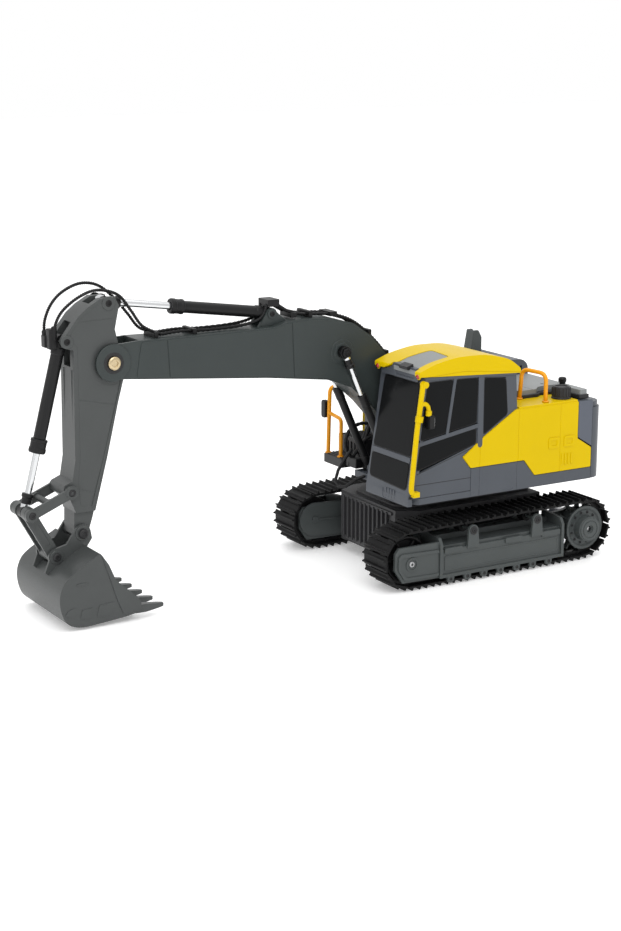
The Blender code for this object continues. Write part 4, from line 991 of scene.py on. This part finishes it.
def cylinder_pieces():
    pins = (BOOM_BARREL_PIN, BOOM_ROD_PIN)
    for name, sign in SIDES:
        barrel, rod_body = f"{name}_boom_barrel", f"{name}_boom_rod"
        x = sign * BOOM_CYLINDER_X
        cylinder_trim(f"{name}_boom_cylinder", barrel, rod_body, x, pins, 71, 3.1, 3.2, 1.9)
    pins = (ARM_BARREL_PIN, ARM_ROD_PIN)
    cylinder_trim("arm_cylinder", "arm_barrel", "arm_rod", 0, pins, 78, 4.3, 5.0, 2.7)
    pins = (BUCKET_BARREL_PIN, ROD_END_PIVOT)
    cylinder_trim("bucket_cylinder", "bucket_barrel", "bucket_rod", 0, pins, 78, 4.4, 5.4, 2.5)
    for name, sign in SIDES:
        rod_eye(f"{name}_boom_rod", sign * BOOM_CYLINDER_X, BOOM_ROD_PIN, 2.3, 4.6)
    rod_eye("bucket_rod", 0, ROD_END_PIVOT, 3.4, 4.4)


def digging_pieces():
    boom_pieces()
    hose_pieces()
    arm_pieces()
    linkage_pieces()
    bucket_pieces()
    cylinder_pieces()


# Upper structure pieces


CAB_FACE = HALF_WIDTH - 0.2
CAP_CENTRE = (66.0, -74.5)
CAP_GRIPS = 16
CAB_FRONT = [(68.3, 71.4), (110.0, 64.5), (156.5, 58.5)]
FRONT_KINK = 110.0
WINDSCREENS = (
    [(28.2, 151.4), (24.0, 98.8), (72.6, 98.8), (72.6, 151.4)],
    [(23.8, 93.6), (24.8, 76.4), (72.6, 74.6), (72.6, 93.6)],
)
ROOF_CROWN = [
    (63.5, 157.2), (63.5, 160.6), (50, 165.6), (30, 169.2), (5, 168.8), (-16, 163.6), (-26.4, 155.6),
    (-26.4, 152.2),
]
ROOF_CREASE = [
    (90, 156.8), (58, 156.8), (24, 158.4), (-30, 152.9), (-30, 152.3), (24, 157.8), (58, 156.2), (90, 156.2),
]
ROOF_LINE = [
    (90, 158.0), (61.2, 160.6), (50, 165.0), (40, 167.0), (30, 168.6), (10, 168.4), (10, 200), (90, 200),
]
ROOF_LAMP_X = (23.4, 75.6)
DOOR_PANES = (
    [(55.4, 152.4), (61.2, 110.8), (39.8, 114.3), (33.6, 152.4)],
    [(30.8, 152.2), (36.8, 114.9), (12.6, 118.8), (11.7, 151.6)],
    [(61.8, 106.2), (64.2, 88.8), (12.6, 103.8), (12.8, 114.2)],
    [(5.3, 151.0), (5.3, 109.4), (-15.6, 122.4), (-13.4, 149.2)],
)


def cab_front_at(up):
    for (low, first), (high, second) in zip(CAB_FRONT, CAB_FRONT[1:]):
        if up <= high:
            return first + (second - first) * (up - low) / (high - low)
    return CAB_FRONT[-1][1]


def on_cab_front(outline, depth):
    """An (x, up) outline made solid along the sloping front of the cab, between two distances ahead of it."""
    return prism(outline, depth, lambda u, v, w: world(u, cab_front_at(v) + w, v))


def clipped(outline, up, above):
    """The part of an (x, up) outline above or below a height."""
    kept = []
    for one, two in zip(outline, outline[1:] + outline[:1]):
        if (one[1] >= up) == above:
            kept.append(one)
        if (one[1] >= up) != (two[1] >= up):
            kept.append(between(one, two, (up - one[1]) / (two[1] - one[1])))
    return kept


def on_both_slopes(outline, depth):
    """Solids on the cab's front, parted where its slope changes."""
    parts = [clipped(outline, FRONT_KINK, above) for above in (False, True)]
    return [on_cab_front(part, depth) for part in parts if part]


def cab_glass():
    """Panes standing proud of the cab with a seal round each, and the bar across the windscreen."""
    panes, seals = [], []
    for outline in WINDSCREENS:
        panes += on_both_slopes(rounded(outline, 3.4, 6), (-0.6, 0.55))
        seals += on_both_slopes(rounded(narrowed(outline, -0.9), 4.0, 6), (-0.6, 0.25))
    for outline in DOOR_PANES:
        panes.append(side(rounded(outline, 2.4, 6), (CAB_FACE - 1.0, CAB_FACE + 0.25)))
        seals.append(side(rounded(narrowed(outline, -0.6), 2.8, 6), (CAB_FACE - 1.0, CAB_FACE + 0.1)))
    right = [(50, 150), (56, 100), (0, 100), (0, 150)]
    panes.append(side(rounded(right, 3, 6), (21.25, 23.0)))
    seals.append(side(rounded(narrowed(right, -0.9), 3.4, 6), (21.32, 23.0)))
    panes.append(front(oblong((28, 128), (70, 146), 3, 6), (-25.6, -24.0)))
    bar = on_cab_front(oblong((22.4, 94.0), (73.4, 98.0), 0.8), (-0.6, 0.9))
    piece("windscreen_bar", "upper", "body_grey", [bar], bevel=0.3)
    piece("cab_panes", "upper", "glass", panes, bevel=0.12)
    piece("cab_seals", "upper", "black", seals, bevel=0.08)


def cab_body():
    skirt = side([(71.8, 62.9), (71.6, 69.4), (70.0, 74.2), (68, 74.2), (68, 62.9)], (21.8, CAB_FACE))
    recess = front(oblong((44, 63.6), (61, 72.6), 2.6), (71.0, 80))
    slats = [box((x, x + 1.5), (70.0, 71.6), (64.8, 71.6)) for x in (47.2, 50.8, 54.4, 58.0)]
    piece("cab_skirt", "upper", "body_grey", [skirt], [recess], slats, bevel=0.5)
    pillars = (
        ((31.9, 153.6), (38.4, 113.0), 1.25),
        ((57.4, 154.4), (63.2, 110.4), 1.1),
        ((63.2, 110.4), (69.4, 72.0), 1.3),
        ((9.0, 153.2), (9.0, 102.0), 2.2),
    )
    depth = (CAB_FACE - 0.4, CAB_FACE + 0.75)
    trims = [side(bar_outline(start, end, half, 6), depth) for start, end, half in pillars]
    piece("cab_door_frame", "upper", "body_grey", trims, bevel=0.3)
    bar = side(bar_outline((63.0, 107.9), (10.6, 116.5), 1.5, 6), (CAB_FACE - 0.4, CAB_FACE + 0.62))
    piece("cab_door_bar", "upper", "body_grey", [bar], bevel=0.3)
    lines = (((64.2, 86.0), (12.0, 101.4)), ((11.6, 101.4), (11.6, 78.0)), ((65.6, 78.0), (11.6, 78.0)))
    depth = (CAB_FACE - 0.3, CAB_FACE + 0.08)
    seams = [side(bar_outline(start, end, 0.22, 3), depth) for start, end in lines]
    piece("cab_seams", "upper", "dark_grey", seams, bevel=0)


def cab_roof_pieces():
    """The crowned yellow roof, open in front over a grey brow, with a skylight and two lamps."""
    yellow = side(rounded(ROOF_CROWN, [0.8, 1.2, 6, 8, 8, 6, 2, 0.8], 6), (19.6, HALF_WIDTH + 1.0))
    room = [(24.6, 140), (72.8, 140), (72.8, 155.0), (69.8, 175), (41.0, 175), (38.0, 160.0), (24.6, 155.0)]
    skylight = rounded([(40.8, 80), (70.0, 80), (70.6, 32.5), (43.4, 29.6)], [0, 0, 3, 3])
    cuts = [front(room, (58.9, FAR)), plan(skylight, (157.8, 190)), side(ROOF_CREASE, (78.2, FAR))]
    piece("cab_roof_shell", "upper", "yellow", [yellow], cuts, bevel=0.5, segments=3, replaces=("cab_roof",))
    lid = rounded([(41.2, 61.4), (69.7, 61.4), (70.2, 32.9), (43.8, 30.0)], [1, 1, 3, 3])
    panel = plan(lid, (157.4, 190))
    piece("cab_skylight", "upper", "deck_grey", [panel], [side(ROOF_LINE, (0, 100))], bevel=0.3)
    brow = [
        (25.2, 152.6), (72.4, 152.6), (72.4, 155.2), (69.6, 162.0), (41.2, 162.6), (38.4, 159.2), (25.2, 155.2),
    ]
    dish = front(oblong((44, 154.6), (68, 158.4), 1.4), (60.6, 80))
    piece("cab_brow", "upper", "body_grey", [front(rounded(brow, 0.8), (56.5, 61.2))], [dish], bevel=0.5)
    visor = side(rounded([(58.0, 160.6), (63.4, 160.0), (64.6, 162.4), (58.6, 164.4)], 0.6), (52.0, 63.0))
    piece("cab_visor", "upper", "dark_grey", [visor], bevel=0.4)
    lens = [(0, 1.9), (1.2, 1.9), (2.2, 1.4), (2.6, 0.0)]
    rim = [(0, 2.4), (1.4, 2.4), (1.4, 1.8), (0, 1.8), (0, 2.4)]
    for name, look, profile, bevel in (("lamps", "lamp_red", lens, 0), ("lamp_rims", "yellow", rim, 0.1)):
        shapes = [lathe(profile, (x, 61.8, 157.6), (x, 64.6, 157.2), 24) for x in ROOF_LAMP_X]
        piece(f"roof_{name}", "upper", look, shapes, bevel=bevel)
    depth = (CAB_FACE - 0.6, CAB_FACE + 0.9)
    gutter = side([(58.6, 156.6), (58.2, 154.6), (-22.6, 151.0), (-23.6, 153.0)], depth)
    piece("roof_gutter", "upper", "body_grey", [gutter], bevel=0.3)


def cab_rail():
    """The grab rail at the cab's front corner, with the hook that carries the left mirror."""
    x = HALF_WIDTH + 2.6
    corners = [
        (x - 2.0, 60.6, 152.4), (x, 61.8, 150.8), (x, 66.5, 118), (x, 71.0, 74.5), (x - 1.0, 66.8, 72.2),
    ]
    hook = [(x, 64.0, 137.0), (x + 0.8, 60.6, 138.4), (x + 1.0, 57.8, 136.0), (x + 1.0, 57.0, 131.6)]
    shapes = [tube(bent_route(corners, 5, 8), 1.95, 20), tube(smooth_route(hook, 8), 1.55, 16)]
    for start, end, radius in (
        ((x - 3.0, 60.0, 152.0), (x + 1.6, 60.0, 152.0), 2.4),
        ((x, 64.2, 129.6), (x, 64.9, 125.4), 2.9),
        ((x + 1.0, 57.0, 133.0), (x + 1.0, 57.2, 129.4), 2.2),
    ):
        shapes.append(rod(start, end, radius, sides=24))
    shapes.append(box((x - 3.4, x + 1.6), (64.2, 69.4), (70.4, 74.2)))
    piece("cab_rail", "upper", "yellow", shapes, bevel=0.4, replaces=("cab_grab_rail",))
    face = front(oblong((x - 2.6, 119.6), (x + 4.0, 130.0), 1.6), (53.6, 57.8))
    glass_face = front(oblong((x - 1.8, 120.6), (x + 3.2, 129.0), 1.2), (53.2, 53.8))
    piece("left_mirror_shell", "upper", "black", [face], bevel=0.7, segments=3, replaces=("left_mirror",))
    piece("left_mirror_glass", "upper", "chrome", [glass_face], bevel=0.1)


LEFT_PANEL = [
    (-23.5, 124.6), (-82.3, 124.6), (-82.3, 96.2), (-95.6, 87.8), (-95.6, 72.6), (-42.1, 72.6), (-32.0, 85.2),
    (16.9, 85.2), (23.6, 94.3), (5.0, 107.6),
]
RIGHT_PANEL = [(11.5, 111.3), (-26, 111.3), (-30, 124.6), (-95.2, 124.6), (-95.2, 72.6), (11.5, 72.6)]
LOWER_BAND = [(16.4, 84.8), (-31.8, 84.8), (-41.9, 72.2), (-95.8, 72.2), (-95.8, 63.6), (16.4, 63.6)]
REAR_STRIP = [(-82.7, 124.4), (-96.0, 124.4), (-96.0, 88.8), (-82.7, 97.0)]


def panel_pieces():
    """The yellow side panels with seams and louvres, and the grey strips behind and below the left one."""
    face = HALF_WIDTH
    skin_shape = side(rounded(narrowed(LEFT_PANEL, 0.1), 0.8), (face - 2.2, face + 0.45))
    lines = ((8.8, 80, 106.0), (-26.2, 80, 123.6), (-65.4, 70, 124.0))
    seams = [strip((ahead, low), (ahead, high), 0.25, (face + 0.15, FAR)) for ahead, low, high in lines]
    rims, dents = [], []
    for low, high in (((-64.6, 91.0), (-54.4, 99.4)), ((-79.0, 91.0), (-69.0, 99.4))):
        rims.append(side(oblong(low, high, 1.4), (face, face + 1.05)))
        dent = oblong((low[0] + 2.2, low[1] + 2.2), (high[0] - 2.2, high[1] - 2.2), 0.8)
        dents.append(side(dent, (face + 0.5, FAR)))
    piece("left_panel_frames", "upper", "yellow", rims, dents, bevel=0.15)
    louvres = [
        side(oblong((ahead, 77.2), (ahead + 1.5, 85.8), 0.7), (face, face + 0.95))
        for ahead in (-77.4, -74.4, -71.4, -68.4)
    ]
    piece("left_panel_skin", "upper", "yellow", [skin_shape], seams, louvres, bevel=0.15)
    right_skin = side(rounded(RIGHT_PANEL, 0.8), (-face - 0.45, -face + 2.2))
    cuts = [strip((ahead, 70), (ahead, 126), 0.25, (-FAR, -face - 0.15)) for ahead in (-26.2, -62.0)]
    vents = [
        side(oblong((ahead, 84), (ahead + 2.0, 104), 1.0), (-face - 0.95, -face))
        for ahead in range(-56, -32, 4)
    ]
    piece("right_panel_skin", "upper", "yellow", [right_skin], cuts, vents, bevel=0.15)
    piece("rear_strip", "upper", "strip_grey", [side(REAR_STRIP, (face - 1.0, face + 0.3))], bevel=0.25)
    band = side(LOWER_BAND, (face - 1.2, face + 0.2))
    lines = [strip((ahead, 60), (ahead, 86), 0.2, (face, FAR)) for ahead in (8.8, -25.4)]
    slot = side(oblong((-22, 64.4), (-12, 65.8), 0.7), (face - 0.4, FAR))
    piece("lower_band", "upper", "body_grey", [band], [*lines, slot], bevel=0.25)


DECK_BASE = [
    (-2, -37), (46, -37), (54, -47), (54, -62), (50, -67), (52, -84), (74, -86), (74, -95.4), (-2, -95.4),
]
DECK_PLATE = [
    (-2, -38.2), (44.6, -38.2), (52.4, -47.6), (52.4, -61.4), (46.0, -67.6), (44.4, -76.0), (46.0, -86.6),
    (72.8, -87.4), (72.8, -94.4), (-2, -94.4),
]
CAP_PROFILE = [(0, 7.4), (1.4, 7.4), (1.8, 6.8), (8.6, 6.8), (9.8, 6.2), (9.8, 5.0), (9.0, 4.8), (9.0, 0)]
KNOB_PROFILE = [(0, 2.3), (1.6, 2.3), (2.2, 3.1), (4.6, 3.2), (5.8, 2.4), (6.2, 0)]


def deck_pieces():
    """The deck behind the cab: yellow edge, grey plates, filler cap, knob and handrail."""
    deck = plan(oblong((20.0, -82.0), (77.4, -26.6), 0.8), (124.2, 126.0))
    piece("deck_edge", "upper", "yellow", [deck], bevel=0.4)
    piece("deck_base", "upper", "dark_grey", [plan(rounded(DECK_BASE, 1.2), (125.2, 128.4))], bevel=0.5)
    holes = ((40.0, -46.0), (38.0, -78.0))
    cuts = [rod((x, ahead, 120), (x, ahead, 140), 1.5, sides=24) for x, ahead in holes]
    cuts.append(box((-3, 53), (-58.2, -57.6), (131.4, 140)))
    plate = plan(rounded(DECK_PLATE, 1.4), (128.2, 132.0))
    bead = [(6, -44.5, 131.8), (18, -42.5, 131.8), (26, -48.0, 131.8), (38, -52.0, 131.8)]
    emboss = tube(smooth_route(bead, 8), 0.7, 12)
    piece("deck_plate", "upper", "deck_grey", [plate], cuts, [emboss], bevel=0.7, segments=3,
          replaces=("deck_cover",))
    circle = arc(CAP_CENTRE, 6.8, 0, 360 - 360 / CAP_GRIPS, CAP_GRIPS - 1)
    grips = [rod((*place, 128.0), (*place, 134.6), 0.6, sides=10) for place in circle]
    piece("filler_cap_top", "upper", "dark_grey", [seat(*CAP_CENTRE, 125.6, CAP_PROFILE, 48)], (), grips,
          bevel=0.25, replaces=("filler_cap",))
    piece("rear_knob", "upper", "black", [seat(47, -90.6, 131.5, KNOB_PROFILE, 36)], bevel=0.3)
    rail = bent_route([(72, -55, 125.3), (72, -55, 147.5), (53, -47, 149), (53, -45, 125.3)], 6, 8)
    foot = [(0, 2.6), (0.9, 2.6), (1.3, 1.9), (1.3, 0)]
    feet = [seat(x, ahead, 125.9, foot) for x, ahead in ((72, -55), (53, -45))]
    piece("deck_rail", "upper", "orange", [tube(rail, 1.6, 20)], (), feet, bevel=0,
          replaces=("deck_handrail",))


def hood_pieces():
    outline = [(-54, 125.3), (-98, 125.3), (-98, 138), (-93, 143), (-60, 144), (-54, 139)]
    body = side(rounded(outline, [0.5, 0.5, 3, 4, 4, 4], 6), (-70, -6))
    grooves = [box((x, x + 2.2), (-90, -62), (143.0, 150)) for x in range(-64, -38, 5)]
    grooves += [box((-8, 0), (ahead, ahead + 2.0), (129, 138)) for ahead in range(-92, -62, 5)]
    piece("hood_shell", "upper", "body_grey", [body], grooves, bevel=0.6, segments=3,
          replaces=("engine_hood",))
    stack = [(-55.6, 144.3), (-67.2, 144.3), (-67.2, 160), (-64, 165.6), (-59.4, 165.6)]
    mouth = side([(-60.6, 170), (-66.2, 166.0), (-66.2, 158.0), (-60.6, 162.0)], (-34.6, -28.4))
    piece("exhaust", "upper", "frame_grey", [side(rounded(stack, 0.8), (-36.4, -26.6))], [mouth], bevel=0.7,
          segments=3, replaces=("exhaust_stack",))


def counterweight_outline(grow):
    """The tail's plan view with two round corners, this much larger than the tail."""
    corner = 12.0
    middle_x, middle_ahead = HALF_WIDTH - corner, -108.6 + corner
    outline = [(-HALF_WIDTH - grow, -96.3), (HALF_WIDTH + grow, -96.3)]
    outline += arc((middle_x, middle_ahead), corner + grow, 0, -90, 12)
    return outline + arc((-middle_x, middle_ahead), corner + grow, -90, -180, 12)


def counterweight_pieces():
    slab = plan(counterweight_outline(0.0), (63.4, 118.6))
    top = plan(counterweight_outline(-1.4), (118.4, 122.6))
    piece("counterweight_shell", "upper", "body_grey", [slab, top], bevel=1.4, segments=4,
          replaces=("counterweight",))


PLATFORM_HOSES = (
    [(-15.6, 18, 92), (-25, 32, 108), (-27, 43, 84), (-29, 45, 69)],
    [(-15.6, 14, 98), (-27, 26, 116), (-34, 40, 86), (-36, 42, 69)],
    [(-15.6, 22, 84), (-24, 38, 92), (-31, 50, 76), (-33, 52, 69)],
)


def platform_pieces():
    """The right-hand platform: step box with a slotted front, tread plates, posts, mirror and hoses."""
    high = bent_route([(-75, 45.5, 70), (-75, 44, 124), (-75, 10, 116), (-75, 9, 112.6)], 7, 8)
    low = bent_route([(-75, 44.6, 102), (-57, 44.6, 100), (-57, 45, 70)], 4, 8)
    feet = [seat(x, 45.3, 69.4, [(0, 2.6), (1.0, 2.6), (1.4, 2.0), (1.4, 0)]) for x in (-75, -57)]
    piece("platform_rail", "upper", "orange", [tube(high, 1.6, 20), tube(low, 1.5, 20)], (), feet, bevel=0,
          replaces=("front_handrail",))
    shapes = [box((-76.5, -45), (12.6, 35), (68.3, 84)), box((-76.5, -50), (35, 48.5), (62.5, 69.7))]
    slots = [box((x, x + 2.4), (33.6, 40), (72, 81)) for x in range(-73, -49, 5)]
    treads = [box((x, x + 1.0), (15, 33), (83.6, 84.7)) for x in range(-74, -46, 3)]
    treads += [box((-75.5, -51), (ahead, ahead + 1.0), (69.4, 70.4)) for ahead in range(37, 48, 3)]
    piece("platform_box", "upper", "dark_grey", shapes, slots, treads, bevel=0.4, replaces=("step_box",))
    shell = front(oblong((-83.2, 97.4), (-77.0, 111.6), 2.4), (43.6, 47.4))
    arm = tube([(-79.4, 44.6, 106), (-77.6, 44.6, 106), (-75.2, 44.6, 106)], 1.1, 14)
    piece("right_mirror_shell", "upper", "black", [shell, arm], bevel=0.8, segments=3,
          replaces=("right_mirror",))
    loops = [wound_hose(route, 14, 1.4, 14) for route in PLATFORM_HOSES]
    piece("platform_hoses", "upper", "hose", loops, bevel=0)
    piece("valve_block", "upper", "black", [box((-36, -22), (38, 53), (68.2, 76))], bevel=0.6)


def upper_pieces():
    cab_glass()
    cab_body()
    cab_roof_pieces()
    cab_rail()
    panel_pieces()
    deck_pieces()
    hood_pieces()
    counterweight_pieces()
    platform_pieces()


# Camera, light and floor


def area_light(name, place, target, size, power):
    data = bpy.data.lights.new(name, "AREA")
    data.shape = "RECTANGLE"
    data.size, data.size_y = size
    data.energy = power
    lamp = bpy.data.objects.new(name, data)
    bpy.context.scene.collection.objects.link(lamp)
    lamp.location = place
    lamp.rotation_mode = "QUATERNION"
    lamp.rotation_quaternion = (Vector(target) - Vector(place)).to_track_quat("-Z", "Y")


def stage():
    """The camera, a white floor and world, and three soft lights."""
    camera_data = bpy.data.cameras.new("camera")
    camera_data.lens = 71.9
    camera_data.sensor_width = 36.0
    camera_data.clip_start = 0.05
    camera_data.clip_end = 50.0
    camera = bpy.data.objects.new("camera", camera_data)
    bpy.context.scene.collection.objects.link(camera)
    azimuth, elevation = math.radians(59.03), math.radians(13.6)
    level = math.cos(elevation)
    back = Vector((math.sin(azimuth) * level, -math.cos(azimuth) * level, math.sin(elevation)))
    camera.location = (1.15117, -0.68647, 0.40714)
    camera.rotation_mode = "QUATERNION"
    camera.rotation_quaternion = (-back).to_track_quat("-Z", "Y")
    bpy.context.scene.camera = camera

    floor = to_object(box((-6000, 6000), (-6000, 6000), (-20.0, -0.05)), "floor")
    floor.data.materials.append(floor_look())
    floor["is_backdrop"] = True

    backdrop = bpy.data.worlds.new("backdrop")
    backdrop.use_nodes = True
    fill(backdrop.node_tree.nodes["Background"], {"Color": (1.0, 1.0, 1.0, 1.0), "Strength": 1.0})
    bpy.context.scene.view_settings.view_transform = "Standard"
    bpy.context.scene.world = backdrop

    centre = (0.0, 0.0, 0.1)
    area_light("key", (1.0, -0.5, 1.5), centre, (1.2, 1.2), 13)
    area_light("top", (-0.3, 0.2, 1.6), centre, (1.6, 1.6), 7)
    area_light("front", (0.3, -1.6, 0.7), centre, (1.2, 0.8), 3)


def floor_look():
    made = bpy.data.materials.new("floor_white")
    made.use_nodes = True
    fill(made.node_tree.nodes["Principled BSDF"], {
        "Base Color": (0.9, 0.9, 0.9, 1), "Roughness": 0.35,
        "Emission Color": (1, 1, 1, 1), "Emission Strength": 0.25,
    })
    return made


dress_frame()
undercarriage_pieces()
digging_pieces()
upper_pieces()
stage()


def write_sizes():
    """Both boxes, lowest and highest corners in metres: the CAD model's and the visual model's."""
    boxes = {"cad": CAD_BOX, "visual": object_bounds()}
    rows = {name: [list(corner) for corner in corners] for name, corners in boxes.items()}


write_sizes()
